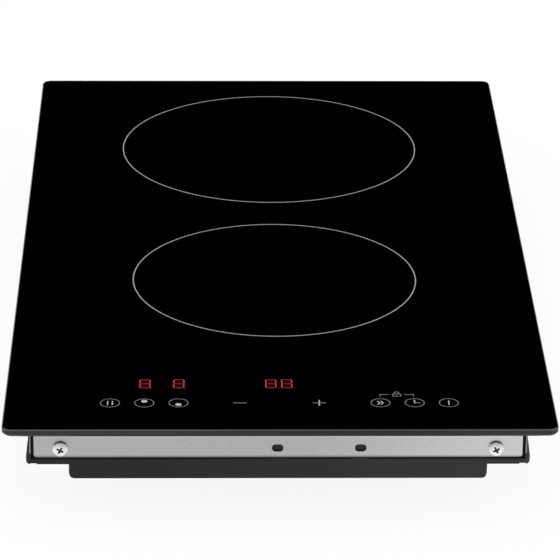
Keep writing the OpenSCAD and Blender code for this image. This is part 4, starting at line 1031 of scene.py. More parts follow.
def arc(centre: Point, radius: float, start: float, stop: float, steps: int) -> list[Point]:
    """Points along an arc.

    Args:
        centre: the arc's centre.
        radius: its radius.
        start: its first angle, in degrees.
        stop: its last angle, in degrees.
        steps: how many steps it takes.

    Returns:
        The points, both ends included.
    """
    angles = [math.radians(start + (stop - start) * i / steps) for i in range(steps + 1)]
    return [(centre[0] + radius * math.cos(a), centre[1] + radius * math.sin(a)) for a in angles]


def rounded(low: Point, high: Point, radius: float, steps: int = 4) -> list[Point]:
    """Points round a rectangle with rounded corners.

    Args:
        low: the rectangle's lowest corner.
        high: its highest corner.
        radius: the radius of its corners.
        steps: how many steps each corner takes.

    Returns:
        The points, anticlockwise from the lower right.
    """
    left, right = low[0] + radius, high[0] - radius
    bottom, top = low[1] + radius, high[1] - radius
    turns = ((right, bottom, -90), (right, top, 0), (left, top, 90), (left, bottom, 180))
    return [p for a, b, start in turns for p in arc((a, b), radius, start, start + 90, steps)]


def edges_where(bm: BMesh, test: Callable[[BMEdge], bool]) -> list[BMEdge]:
    """Returns the edges of bm that pass test."""
    return [e for e in bm.edges if test(e)]


def along(axis: Axis) -> Callable[[BMEdge], bool]:
    """Makes a test for edges that run along an axis.

    Args:
        axis: the axis.

    Returns:
        The test, which takes an edge.
    """

    def test(edge: BMEdge) -> bool:
        """Returns True if the edge runs along the axis."""
        run = edge.verts[1].co - edge.verts[0].co
        return abs(run[axis]) > PARALLEL * run.length

    return test


def at_height(edge: BMEdge, z: float) -> bool:
    """Returns True if both ends of the edge are at height z."""
    return all(abs(v.co.z - z) < LEVEL for v in edge.verts)


def sharp(edge: BMEdge, degrees: float = 30.0) -> bool:
    """Returns True if the edge's two faces meet at more than that angle."""
    return len(edge.link_faces) == 2 and edge.calc_face_angle(0.0) > math.radians(degrees)


def round_off(bm: BMesh, edges: Iterable[BMEdge], width: float, segments: int = 2) -> None:
    """Rounds edges.

    Args:
        bm: the mesh.
        edges: the edges to round.
        width: how far the rounding reaches along each face.
        segments: how many steps it has.
    """
    bmesh.ops.bevel(
        bm, geom=list(edges), offset=width, offset_type="OFFSET", segments=segments, profile=0.5,
        affect="EDGES", material=-1, clamp_overlap=True,
    )


def reach(face: BMFace, axis: Vector) -> float:
    """Returns how far the face reaches from an upright axis."""
    return max((v.co.xy - axis.xy).length for v in face.verts)


def paint(faces: Iterable[BMFace], index: int) -> None:
    """Gives faces the finish of that index."""
    for face in faces:
        face.material_index = index


def corners(node: str) -> tuple[Vector, Vector]:
    """Returns a construction solid's lowest and highest corners."""
    low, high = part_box(node)
    return Vector(low), Vector(high)


@dataclass
class Piece:
    """A finished piece of the cooktop, and how it is tied to the construction model.

    flat is True where broad flat faces keep a flat shading beside their rounded edges.
    """

    name: str
    finishes: tuple[Finish, ...]
    body: str = CASING
    nodes: tuple[str, ...] = ()
    slot: str = ""
    smooth: float = 35.0
    flat: bool = True

    def from_mesh(self, mesh: bpy.types.Mesh) -> bpy.types.Object:
        """Makes the piece's object.

        Args:
            mesh: its mesh, in place.

        Returns:
            The object, dressed and riding on its body.
        """
        mesh.name = self.name
        for finish in self.finishes:
            mesh.materials.append(finish.material())
        mesh.shade_smooth()
        mesh.set_sharp_from_angle(angle=math.radians(self.smooth))
        piece = bpy.data.objects.new(self.name, mesh)
        bpy.context.scene.collection.objects.link(piece)
        if self.flat:
            weighted = piece.modifiers.new("flat faces stay flat", "WEIGHTED_NORMAL")
            weighted.keep_sharp = True
        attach(piece, self.body)
        if self.nodes:
            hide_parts(*self.nodes)
        LOG.info("%s: %d faces on %s", self.name, len(mesh.polygons), self.body)
        return piece

    def from_bmesh(self, bm: BMesh, recalculate: bool = True) -> bpy.types.Object:
        """Makes the piece's object.

        Args:
            bm: its mesh, in place; it is freed.
            recalculate: True to turn all faces outwards.

        Returns:
            The object, dressed and riding on its body.
        """
        if recalculate:
            bmesh.ops.recalc_face_normals(bm, faces=bm.faces)
        mesh = bpy.data.meshes.new(self.name)
        bm.to_mesh(mesh)
        bm.free()
        return self.from_mesh(mesh)


def mesh_of(bm: BMesh, name: str) -> bpy.types.Object:
    """Makes a bare object for a cut.

    Args:
        bm: its mesh; it is freed.
        name: its name.

    Returns:
        The object.
    """
    bmesh.ops.recalc_face_normals(bm, faces=bm.faces)
    mesh = bpy.data.meshes.new(name)
    bm.to_mesh(mesh)
    bm.free()
    made = bpy.data.objects.new(name, mesh)
    bpy.context.scene.collection.objects.link(made)
    return made


def carve(body: BMesh, cutter: BMesh) -> BMesh:
    """Cuts one solid out of another.

    Args:
        body: what is cut; it is freed.
        cutter: what is cut away; it is freed.

    Returns:
        The result as a new bmesh.
    """
    solid, knife = mesh_of(body, "solid"), mesh_of(cutter, "knife")
    cut = solid.modifiers.new("cut", "BOOLEAN")
    cut.operation = "DIFFERENCE"
    cut.solver = "EXACT"
    cut.object = knife
    bpy.context.view_layer.update()
    graph = bpy.context.evaluated_depsgraph_get()
    result = bmesh.new()
    result.from_mesh(solid.evaluated_get(graph).to_mesh())
    for used in (solid, knife):
        mesh = used.data
        bpy.data.objects.remove(used)
        bpy.data.meshes.remove(mesh)
    bmesh.ops.remove_doubles(result, verts=result.verts, dist=CUT_WELD)
    return result


def softened(
    node: bpy.types.Object, width: float, segments: int = 2, degrees: float = 35.0
) -> BMesh:
    """A copy of a construction solid with its sharp edges rounded.

    Args:
        node: the solid's object.
        width: how far the rounding reaches.
        segments: how many steps it has.
        degrees: the angle past which an edge is rounded.

    Returns:
        The copy.
    """
    bm = bmesh.new()
    bm.from_mesh(node.data)
    bmesh.ops.remove_doubles(bm, verts=bm.verts, dist=SOLID_WELD)
    bmesh.ops.dissolve_limit(
        bm, angle_limit=math.radians(FLAT_DEGREES), verts=bm.verts, edges=bm.edges,
        delimit={"NORMAL"},
    )
    if width > 0:
        round_off(bm, edges_where(bm, lambda e: sharp(e, degrees)), width, segments)
    return bm


def swept(
    points: Sequence[Vector], radius: float, sides: int = 8, loop: bool = False
) -> bpy.types.Mesh:
    """A round wire along a route.

    Args:
        points: the route.
        radius: the wire's radius.
        sides: the wire's sides.
        loop: True if the route's end meets its start.

    Returns:
        Its mesh, with closed ends.
    """
    curve = bpy.data.curves.new("route", "CURVE")
    curve.dimensions = "3D"
    curve.bevel_depth = radius
    curve.bevel_resolution = max(0, sides // 2 - 2)
    curve.use_fill_caps = True
    spline = curve.splines.new("POLY")
    spline.points.add(len(points) - 1)
    spline.use_cyclic_u = loop
    for place, point in zip(spline.points, points):
        place.co = (*point, 1.0)
    holder = bpy.data.objects.new("route", curve)
    bpy.context.scene.collection.objects.link(holder)
    graph = bpy.context.evaluated_depsgraph_get()
    mesh = bpy.data.meshes.new_from_object(holder.evaluated_get(graph))
    bpy.data.objects.remove(holder)
    bpy.data.curves.remove(curve)
    return mesh


def joined(meshes: Iterable[bpy.types.Mesh]) -> BMesh:
    """Puts meshes together.

    Args:
        meshes: the meshes; they are removed.

    Returns:
        All of them in one bmesh.
    """
    bm = bmesh.new()
    for mesh in meshes:
        bm.from_mesh(mesh)
        bpy.data.meshes.remove(mesh)
    bmesh.ops.remove_doubles(bm, verts=bm.verts, dist=WELD)
    return bm


def merge(bm: BMesh, part: BMesh, matrix: Matrix | None = None) -> None:
    """Adds one bmesh to another.

    Args:
        bm: the mesh to add to.
        part: what is added; it is freed.
        matrix: where it goes, or None if it is in place.
    """
    bmesh.ops.recalc_face_normals(part, faces=part.faces)
    if matrix is not None:
        bmesh.ops.transform(part, matrix=matrix, verts=part.verts)
    mesh = bpy.data.meshes.new("part")
    part.to_mesh(mesh)
    part.free()
    bm.from_mesh(mesh)
    bpy.data.meshes.remove(mesh)


# ---------------------------------------------------------------- the cooktop


@dataclass
class SubAssembly:
    """A group of pieces that is built and dressed together."""

    nodes: dict[str, bpy.types.Object]

    def build(self) -> None:
        """Builds the group's pieces."""
        raise NotImplementedError

    def dress(self, finishes: dict[str, Finish]) -> None:
        """Gives construction solids that stay their finishes.

        Args:
            finishes: a finish for each node's name.
        """
        for name, finish in finishes.items():
            node = self.nodes[name]
            node.data.materials.clear()
            node.data.materials.append(finish.material())
            LOG.info("%s: dressed in %s", name, finish.name)

    def soften(
        self, node: str, finishes: Sequence[Finish], width: float, slot: str, body: str = CASING,
        sort: Callable[[BMFace], int] | None = None, segments: int = 2,
    ) -> bpy.types.Object:
        """Replaces a construction solid by a copy with rounded edges.

        Args:
            node: the solid's name.
            finishes: the finishes that it wears.
            width: how far the rounding of its edges reaches.
            slot: the name of a material slot; it is not used.
            body: the body that it rides on.
            sort: gives the index of a face's finish.
            segments: how many steps the rounding has.

        Returns:
            The new piece.
        """
        bm = softened(self.nodes[node], width, segments)
        bm.normal_update()
        if sort is not None:
            for face in bm.faces:
                face.material_index = sort(face)
        piece = Piece(f"{node}_form", tuple(finishes), body, (node,), slot)
        return piece.from_bmesh(bm, recalculate=False)


class Lit(IntEnum):
    """The parts of a lit digit, in the order of its finishes."""

    CORE = 0
    RIM = 1
    GLOW = 2


@dataclass
class GlassTop(SubAssembly):
    """The black glass with its ground edge, its printing, its lit digits and the seals under it."""

    corner: float = 0.0055
    bevel: float = 0.0005
    painted_shade_arris: float = 0.0011
    key_r: float = 0.00515
    key_pitch: float = 0.0179
    step_x: float = 0.0208
    symbol_reach: float = 0.0043
    film: float = 0.00002
    digit_w: float = 0.0058
    digit_h: float = 0.0108
    digit_y: float = -0.2038
    digit_xs: tuple[float, ...] = (-0.0708, -0.0529, -0.0042, 0.0042)
    core: float = 0.00055
    rim: float = 0.00095
    flat_share: float = 0.42
    point_share: float = 0.38
    glow_corner: float = 0.0016
    segment_gap: float = 0.0003
    level: float = 0.99
    slant: float = 0.3
    zone_point: tuple[float, float] = (0.0035, -0.0058)
    timer_point: tuple[float, float] = (0.0041, -0.0050)

    def build(self) -> None:
        """Builds the glass and all that is on it or under it."""
        self.build_plate()
        self.build_digits()
        print_finishes = (Finishes.FINE_PRINT.value, Finishes.BOLD_PRINT.value)
        marks = self.soften(
            "control_marks", print_finishes, 0.0, "grey_enamel", sort=self.print_weight
        )
        lowest = corners("control_marks")[0].z
        for vertex in marks.data.vertices:
            vertex.co.z = min(vertex.co.z, lowest + self.film)
        self.dress(
            {
                "zone_rings": Finishes.ENAMEL.value,
                "glass_gasket": Finishes.FOAM.value,
                "glass_bond": Finishes.SILICONE.value,
            }
        )

    def print_weight(self, face: BMFace) -> int:
        """Sorts the printing into fine lines and bold symbols.

        Args:
            face: a face of the printing.

        Returns:
            1 for a face of a key's own symbol, 0 for its ring or any other line.
        """
        low, high = corners("control_marks")
        y = low.y + self.key_r
        ends = ((low.x + self.key_r, 1), (high.x - self.key_r, -1))
        ringed = [x + way * i * self.key_pitch for x, way in ends for i in range(3)]
        keys = (*ringed, -self.step_x, self.step_x)
        return int(min(reach(face, Vector((x, y))) for x in keys) < self.symbol_reach)

    def build_plate(self) -> None:
        """Builds the glass plate: polished above and below, ground round its edge."""
        low, high = corners("glass_plate")
        bm = bmesh.new()
        block(bm, low, high)
        round_off(bm, edges_where(bm, along(Axis.Z)), self.corner, 8)
        round_off(bm, edges_where(bm, lambda e: at_height(e, high.z)), self.bevel, 1)
        round_off(bm, edges_where(bm, lambda e: at_height(e, low.z)), self.painted_shade_arris, 1)
        bm.normal_update()
        for face in bm.faces:
            lean = face.normal.z
            if abs(lean) > self.level:
                face.material_index = 0
            elif abs(lean) > self.slant:
                # Upward bevel faces get the painted highlight, downward arris faces the painted
                # shade
                face.material_index = 2 if lean > 0 else 3
            else:
                face.material_index = 1
        edge = (Finishes.GROUND.value, Finishes.BEVEL.value, Finishes.PAINTED_SHADE_ARRIS.value)
        finishes = (Finishes.GLASS.value, *edge)
        Piece("glass_sheet", finishes, CASING, ("glass_plate",), "glass_ceramic").from_bmesh(bm)

    def build_digits(self) -> None:
        """Builds the lit segments of the four digits, their points and the glow round them."""
        bottom = corners("display_digits")[0].z
        bm = bmesh.new()
        for index, x in enumerate(self.digit_xs):
            point = Vector((x, self.digit_y, 0)) + Vector((*self.point(index), 0))
            self.add_glow(bm, x, bottom, self.film)
            for width, kind in ((self.rim, Lit.RIM), (self.core, Lit.CORE)):
                top = bottom + self.film * (Lit.GLOW + 1 - kind)
                for start, stop in self.strokes(x):
                    flat = abs(stop.y - start.y) < self.core
                    breadth = width * self.flat_share if flat else width
                    self.add_segment(bm, start, stop, breadth, kind, (bottom, top))
                spot = point + Vector((0, 0, (bottom + top) / 2))
                verts = rod(bm, spot, width * self.point_share, top - bottom, sides=16)
                paint({f for v in verts for f in v.link_faces}, kind)
        finishes = (Finishes.LIT.value, Finishes.LIT_RIM.value, Finishes.LIT_GLOW.value)
        Piece("lit_digits", finishes, CASING, ("display_digits",), "display_red").from_bmesh(bm)

    def point(self, index: int) -> tuple[float, float]:
        """Returns the offset of a digit's point: the first two digits belong to the zones."""
        return self.zone_point if index < 2 else self.timer_point

    def add_glow(self, bm: BMesh, x: float, bottom: float, height: float) -> None:
        """Adds the flat patch of faint light round one digit.

        Args:
            bm: the mesh to add to.
            x: the digit's middle.
            bottom: the patch's lower face.
            height: its height.
        """
        half = Vector(((self.digit_w + self.rim) / 2, (self.digit_h + self.rim) / 2, height / 2))
        centre = Vector((x, self.digit_y, bottom + height / 2))
        others = set(bm.faces)
        verts = block(bm, centre - half, centre + half)
        upright = {e for v in verts for e in v.link_edges if along(Axis.Z)(e)}
        round_off(bm, upright, self.glow_corner, 4)
        paint(set(bm.faces) - others, Lit.GLOW)

    def strokes(self, x: float) -> list[tuple[Vector, Vector]]:
        """The seven strokes of one digit.

        Args:
            x: the digit's middle.

        Returns:
            Both ends of each stroke.
        """
        half_w = (self.digit_w - self.core) / 2
        half_h = (self.digit_h - self.core) / 2
        y = self.digit_y
        ways = [(sx, sy) for sx in (-1, 1) for sy in (-1, 0, 1)]
        knots = {(sx, sy): Vector((x + sx * half_w, y + sy * half_h, 0)) for sx, sy in ways}
        flat = [(knots[-1, sy], knots[1, sy]) for sy in (-1, 0, 1)]
        upright = [(knots[sx, sy], knots[sx, sy + 1]) for sx in (-1, 1) for sy in (-1, 0)]
        return flat + upright

    def add_segment(
        self, bm: BMesh, start: Vector, stop: Vector, width: float, kind: Lit, heights: Point
    ) -> None:
        """Adds one segment with pointed ends.

        Args:
            bm: the mesh to add to.
            start: one end's corner point.
            stop: the other end's corner point.
            width: the segment's width.
            kind: the part of the digit that it is.
            heights: its lower and its upper face.
        """
        onward = (stop - start).normalized()
        aside = Vector((-onward.y, onward.x, 0)) * width / 2
        first, last = start + onward * self.segment_gap, stop - onward * self.segment_gap
        inset = onward * width / 2
        near = (first, first + inset - aside, last - inset - aside)
        far = (last, last - inset + aside, first + inset + aside)
        outline = (Vector((p.x, p.y, heights[0])) for p in (*near, *far))
        paint(prism(bm, outline, Vector((0, 0, heights[1] - heights[0]))), kind)


class Side(IntEnum):
    """The side of the cooktop that a rail is on, as the sign of its Y."""

    FRONT = -1
    REAR = 1


@dataclass
class FixingRails(SubAssembly):
    """The two galvanised rails, folded from sheet, and their four cross-recess screws."""

    sheet: float = 0.001
    bend: float = 0.0016
    corner: float = 0.0015
    flange: float = 0.012
    line_z: float = 0.0388
    screw_z: float = 0.0385
    slot_w: float = 0.006
    slot_h: float = 0.0041
    slot_xs: tuple[float, ...] = (-0.0012, 0.0421)
    screw_xs: tuple[float, ...] = (-0.1143, 0.1127)
    hole: float = 0.0022
    painted_shade_arris: float = 0.00018
    head: float = 0.00405
    head_h: float = 0.0026
    rim: float = 0.0010
    rim_share: float = 0.15
    foot_share: float = 0.97
    brow: float = 0.0006
    brow_arc: float = 70.0
    shank: float = 0.0019
    shank_l: float = 0.010
    cross_l: float = 0.0050
    cross_w: float = 0.0012
    cross_d: float = 0.0017
    cross_taper: tuple[float, float] = (0.45, 0.7)
    cross_share: float = 0.55
    cross_clear: float = 0.0001
    turn: float = 28.0
    slot_round: float = 0.47
    thread_pitch: float = 0.0008
    thread_ridge: float = 0.0003
    thread_end: float = 0.0002
    tip: float = 0.001
    tip_share: float = 0.55
    # Where a head's rim is painted dark: as a reflection above, as shade below
    painted_shade_above: tuple[float, float] = (0.96, 0.7)
    painted_shade_below: tuple[float, float] = (0.86, 0.5)

    def build(self) -> None:
        """Builds both rails and the screws."""
        for side in Side:
            self.build_rail(f"{side.name.lower()}_rail", side)
        bm = bmesh.new()
        for side in Side:
            for hand, x in zip((-1, 1), self.screw_xs):
                face = side * abs(corners("front_rail")[0].y)
                self.add_screw(bm, Vector((x, face, self.screw_z)), side, hand)
        # Zinc, then painted shade for the cross recess and the dark-painted rim
        wear = (Finishes.BRIGHT_ZINC.value, Finishes.PAINTED_SHADE_RECESS.value, Finishes.PAINTED_SHADE_RIM.value)
        screws = Piece("rail_screw_set", wear, CASING, ("rail_screws",), "zinc_steel", smooth=28.0)
        screws.from_bmesh(bm)

    def build_rail(self, node: str, side: Side) -> None:
        """Builds one rail.

        Args:
            node: the solid that it stands for.
            side: the side that it is on.
        """
        low, high = corners(node)
        face_y = low.y if side is Side.FRONT else high.y
        bm = bmesh.new()
        outline = (Vector((low.x, face_y - side * y, low.z + z)) for y, z in self.section())
        prism(bm, outline, Vector((high.x - low.x, 0, 0)))
        bmesh.ops.recalc_face_normals(bm, faces=bm.faces)
        lower = edges_where(bm, lambda e: along(Axis.Y)(e) and at_height(e, low.z))
        round_off(bm, lower, self.corner, 6)
        bm = carve(bm, self.knife(face_y, side))
        round_off(bm, edges_where(bm, lambda e: sharp(e, 40.0)), self.painted_shade_arris, 2)
        steel = (Finishes.GALVANISED.value,)
        Piece(f"{node}_sheet", steel, CASING, (node,), "galvanised_steel").from_bmesh(bm)

    def section(self) -> list[Point]:
        """Draws a rail's section.

        Returns:
            (depth, height) points from its lower outer edge.
        """
        top = corners("front_rail")[1].z - corners("front_rail")[0].z
        t = self.sheet
        outer = arc((self.bend, top - self.bend), self.bend, 180, 90, 6)
        inner = arc((self.bend, top - self.bend), self.bend - t, 90, 180, 6)
        return [(0, 0), *outer, (self.flange, top), (self.flange, top - t), *inner, (t, 0)]

    def knife(self, face_y: float, side: Side) -> BMesh:
        """What the slots and the screw holes cut away.

        Args:
            face_y: the rail's outer face.
            side: the side that the rail is on.

        Returns:
            The cutters.
        """
        bm = bmesh.new()
        middle = face_y - side * self.sheet / 2
        half = Vector((self.slot_w / 2, self.sheet * 2, self.slot_h / 2))
        for x in self.slot_xs:
            centre = Vector((x, middle, self.line_z))
            verts = block(bm, centre - half, centre + half)
            ends = {e for v in verts for e in v.link_edges if along(Axis.Y)(e)}
            round_off(bm, ends, self.slot_h * self.slot_round, 6)
        for x in self.screw_xs:
            rod(bm, Vector((x, middle, self.screw_z)), self.hole, self.sheet * 4, Axis.Y, 32)
        return bm

    def add_screw(self, bm: BMesh, seat: Vector, side: Side, hand: int) -> None:
        """Adds one pan-head screw.

        Args:
            bm: the mesh to add to.
            seat: the middle of its head's underside.
            side: the side that it is screwed in from.
            hand: -1 or 1, the way that its cross is turned.
        """
        body = bmesh.new()
        r, crown = self.head, self.rim + self.brow
        foot = [(r * self.foot_share, 0.0), (r, self.rim * self.rim_share)]
        brow = arc((r - self.brow, self.rim), self.brow, 0, self.brow_arc, 6)
        shares = (0.8, 0.6, 0.4, 0.2, 0.0)
        pan = [(r * x, crown + (self.head_h - crown) * (1.0 - x * x)) for x in shares]
        turned(body, [*self.thread(), *foot, *brow, *pan], 64)
        bmesh.ops.recalc_face_normals(body, faces=body.faces)
        for long_x in (True, False):
            body = carve(body, self.blade(long_x))
        spin = Matrix.Rotation(math.radians(hand * self.turn), 4, "Z")
        turn = Matrix.Rotation(-side * math.pi / 2, 4, "X") @ spin
        # The cross recess's faces get painted shade
        paint((f for f in body.faces if self.recessed(f)), 1)
        # The rim's upper faces get a painted dark reflection, its lower faces painted shade
        paint((f for f in body.faces if self.shaded(f, turn)), 2)
        merge(bm, body, Matrix.Translation(seat) @ turn)

    def shaded(self, face: BMFace, turn: Matrix) -> bool:
        """Finds the parts of a head's rim painted dark: a painted reflection above, painted shade
        below.

        Args:
            face: the face of a head that lies on its back.
            turn: how the head is turned into place.

        Returns:
            True if the face is painted dark.
        """
        place = face.calc_center_median()
        place.z = 0.0
        out = place.length / self.head
        height = (turn @ place).z / max(place.length, self.rim)
        above = out > self.painted_shade_above[0] and height > self.painted_shade_above[1]
        return above or (out > self.painted_shade_below[0] and -height > self.painted_shade_below[1])

    def recessed(self, face: BMFace) -> bool:
        """Finds the inside of a head's cross recess.

        Args:
            face: the face of a head that lies on its back.

        Returns:
            True if the face is inside it.
        """
        place = face.calc_center_median()
        share = place.xy.length / self.head
        crown = self.rim + self.brow
        top = crown + (self.head_h - crown) * (1.0 - share * share)
        inside = place.xy.length < self.cross_l * self.cross_share
        return inside and 0.0 < place.z < top - self.cross_clear

    def thread(self) -> list[Point]:
        """Draws a screw's shank with the ridges of its thread.

        Returns:
            (radius, height) points from its tip up.
        """
        root = self.shank - self.thread_ridge
        points = [(0.0, -self.shank_l), (self.shank * self.tip_share, -self.shank_l)]
        z = -self.shank_l + self.tip
        while z < -self.thread_pitch:
            points += [(root, z), (self.shank, z + self.thread_pitch / 2)]
            z += self.thread_pitch
        return [*points, (root, -self.thread_end), (self.shank, 0.0)]

    def blade(self, long_x: bool) -> BMesh:
        """One of the two tapered blades that cut the cross recess.

        Args:
            long_x: True for the blade along X, False for the one along Y.

        Returns:
            The cutter.
        """
        bm = bmesh.new()
        half = (self.cross_l / 2, self.cross_w / 2)
        half = half if long_x else half[::-1]
        deep = self.head_h - self.cross_d
        verts = block(bm, Vector((-half[0], -half[1], deep)), Vector((*half, self.head_h * 1.3)))
        floor = [v for v in verts if abs(v.co.z - deep) < LEVEL]
        taper = self.cross_taper if long_x else self.cross_taper[::-1]
        bmesh.ops.scale(bm, verts=floor, vec=(*taper, 1))
        return bm


@dataclass
class Tray(SubAssembly):
    """The moulded tray: a wide shallow tub over a narrower, deeper pan."""

    rounding: float = 0.0006

    def build(self) -> None:
        """Builds the tray with rounded edges."""
        self.soften("base_tray", (Finishes.TRAY.value,), self.rounding, "black_plastic")
        self.dress(
            {
                "coil_plate": Finishes.ALUMINIUM.value,
                "coil_plate_screws": Finishes.ZINC.value,
            }
        )


@dataclass
class CoilZone(SubAssembly):
    """One zone: its coil in a carrier on four springs, and a sensor pressed up to the glass."""

    zone: str = "rear"
    radius: float = 0.078
    bore: float = 0.022
    litz: float = 0.003
    steps: int = 72
    spring_inset: float = 0.012
    spring_r: float = 0.00385
    spring_wire: float = 0.00096
    spring_angles: tuple[int, ...] = (45, 135, 225, 315)
    spring_turns: int = 4
    sensor_spring_r: float = 0.0034
    sensor_wire: float = 0.00058
    coil_travel: float = 0.002
    sensor_travel: float = 0.0015

    def build(self) -> None:
        """Builds the zone's pieces."""
        coil, sensor = f"{self.zone}_coil", f"{self.zone}_sensor"
        self.soften(f"{coil}_carrier", (Finishes.CREAM.value,), SMALL, "cream_plastic", coil)
        self.build_winding()
        self.build_springs()
        self.soften(f"{coil}_ferrites", (Finishes.FERRITE.value,), EASED, "ferrite", coil)
        self.soften(f"{coil}_blanket", (Finishes.FELT.value,), SOFT, "ceramic_fibre", coil)
        self.soften(sensor, (Finishes.CAP.value,), SOFT, "sensor_cap", sensor)
        self.soften(f"{coil}_leads", (Finishes.RED_LEAD.value,), SMALL, "red_lead")

    @property
    def centre(self) -> Vector:
        """The middle of the zone at floor height, from its blanket, which is round."""
        low, high = corners(f"{self.zone}_coil_blanket")
        return Vector(((low.x + high.x) / 2, (low.y + high.y) / 2, 0))

    def build_winding(self) -> None:
        """Winds the flat spiral of litz wire."""
        low, high = corners(f"{self.zone}_coil_winding")
        turns = math.floor((self.radius - self.bore) / self.litz)
        z = (low.z + high.z) / 2
        first = self.bore + self.litz / 2
        last = self.radius - self.litz / 2
        count = turns * self.steps
        route = []
        for i in range(count + 1):
            r = first + (last - first) * i / count
            angle = math.tau * i / self.steps
            route.append(self.centre + Vector((r * math.cos(angle), r * math.sin(angle), z)))
        litz = LitzCopper(f"{self.zone} litz copper", tuple(self.centre))
        body = f"{self.zone}_coil"
        winding = Piece(
            f"{body}_litz", (litz,), body, (f"{body}_winding",), "copper_wire",
            smooth=60.0, flat=False,
        )
        winding.from_mesh(swept(route, self.litz / 2 * WIRE_FILL, 10))

    def build_springs(self) -> None:
        """Winds the carrier's four springs and the sensor's one."""
        body = f"{self.zone}_coil"
        low, high = corners(f"{body}_springs")
        arm = self.radius - self.spring_inset
        coils = []
        for angle in self.spring_angles:
            turn = math.radians(angle)
            foot = self.centre + Vector((arm * math.cos(turn), arm * math.sin(turn), low.z))
            wound = (self.spring_r, self.spring_wire, high.z - low.z, self.spring_turns)
            coils.append(helix(foot, *wound, turn))
        steel = (Finishes.WIRE.value,)
        springs = Piece(
            f"{body}_spring_set", steel, CASING, (f"{body}_springs",), "spring_steel",
            smooth=60.0, flat=False,
        ).from_bmesh(joined(coils))
        give(springs)
        node = f"{self.zone}_sensor_spring"
        low, high = corners(node)
        foot = self.centre + Vector((0, 0, low.z))
        wound = (self.sensor_spring_r, self.sensor_wire, high.z - low.z, self.spring_turns)
        small = Piece(
            f"{self.zone}_sensor_coil", steel, body, (node,), "spring_steel",
            smooth=60.0, flat=False,
        ).from_mesh(helix(foot, *wound, 0.0))
        give(small)


def give(spring: bpy.types.Object) -> None:
    """Gives a spring its own copy of its mesh.

    Args:
        spring: the spring.
    """
    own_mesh(spring)


def helix(
    foot: Vector, radius: float, wire: float, height: float, turns: int, start: float
) -> bpy.types.Mesh:
    """A compression spring with flat end turns.

    Args:
        foot: the middle of its lower end.
        radius: its middle radius.
        wire: the wire's diameter.
        height: its height over all.
        turns: its turns.
        start: its first angle.

    Returns:
        Its mesh.
    """
    last = turns * SPRING_STEPS
    route = []
    for i in range(last + 1):
        share = min(1.0, max(0.0, (i - SPRING_STEPS / 2) / (last - SPRING_STEPS)))
        angle = start + math.tau * i / SPRING_STEPS
        rise = wire / 2 + (height - wire) * share
        route.append(foot + Vector((radius * math.cos(angle), radius * math.sin(angle), rise)))
    return swept(route, wire / 2 * WIRE_FILL, 8)


@dataclass
class Controls(SubAssembly):
    """The control board under the keys, its frame, its springs and displays, and its ribbon."""

    painted_shade_arris: float = 0.00015
    chip_z: float = 0.00165

    def build(self) -> None:
        """Builds the controls."""
        under = corners("control_board")[1].z - self.chip_z
        self.soften(
            "control_board", (Finishes.BOARD.value, Finishes.EPOXY.value), self.painted_shade_arris,
            "circuit_board", sort=lambda face: int(face.calc_center_median().z < under),
        )
        self.soften("control_carrier", (Finishes.FRAME.value,), BROAD, "black_plastic")
        self.soften("display_modules", (Finishes.EPOXY.value,), FINE, "component_black")
        self.soften("control_ribbon", (Finishes.RIBBON.value,), FINE, "ribbon_grey")
        self.dress({"control_screws": Finishes.ZINC.value, "touch_springs": Finishes.GILT.value})


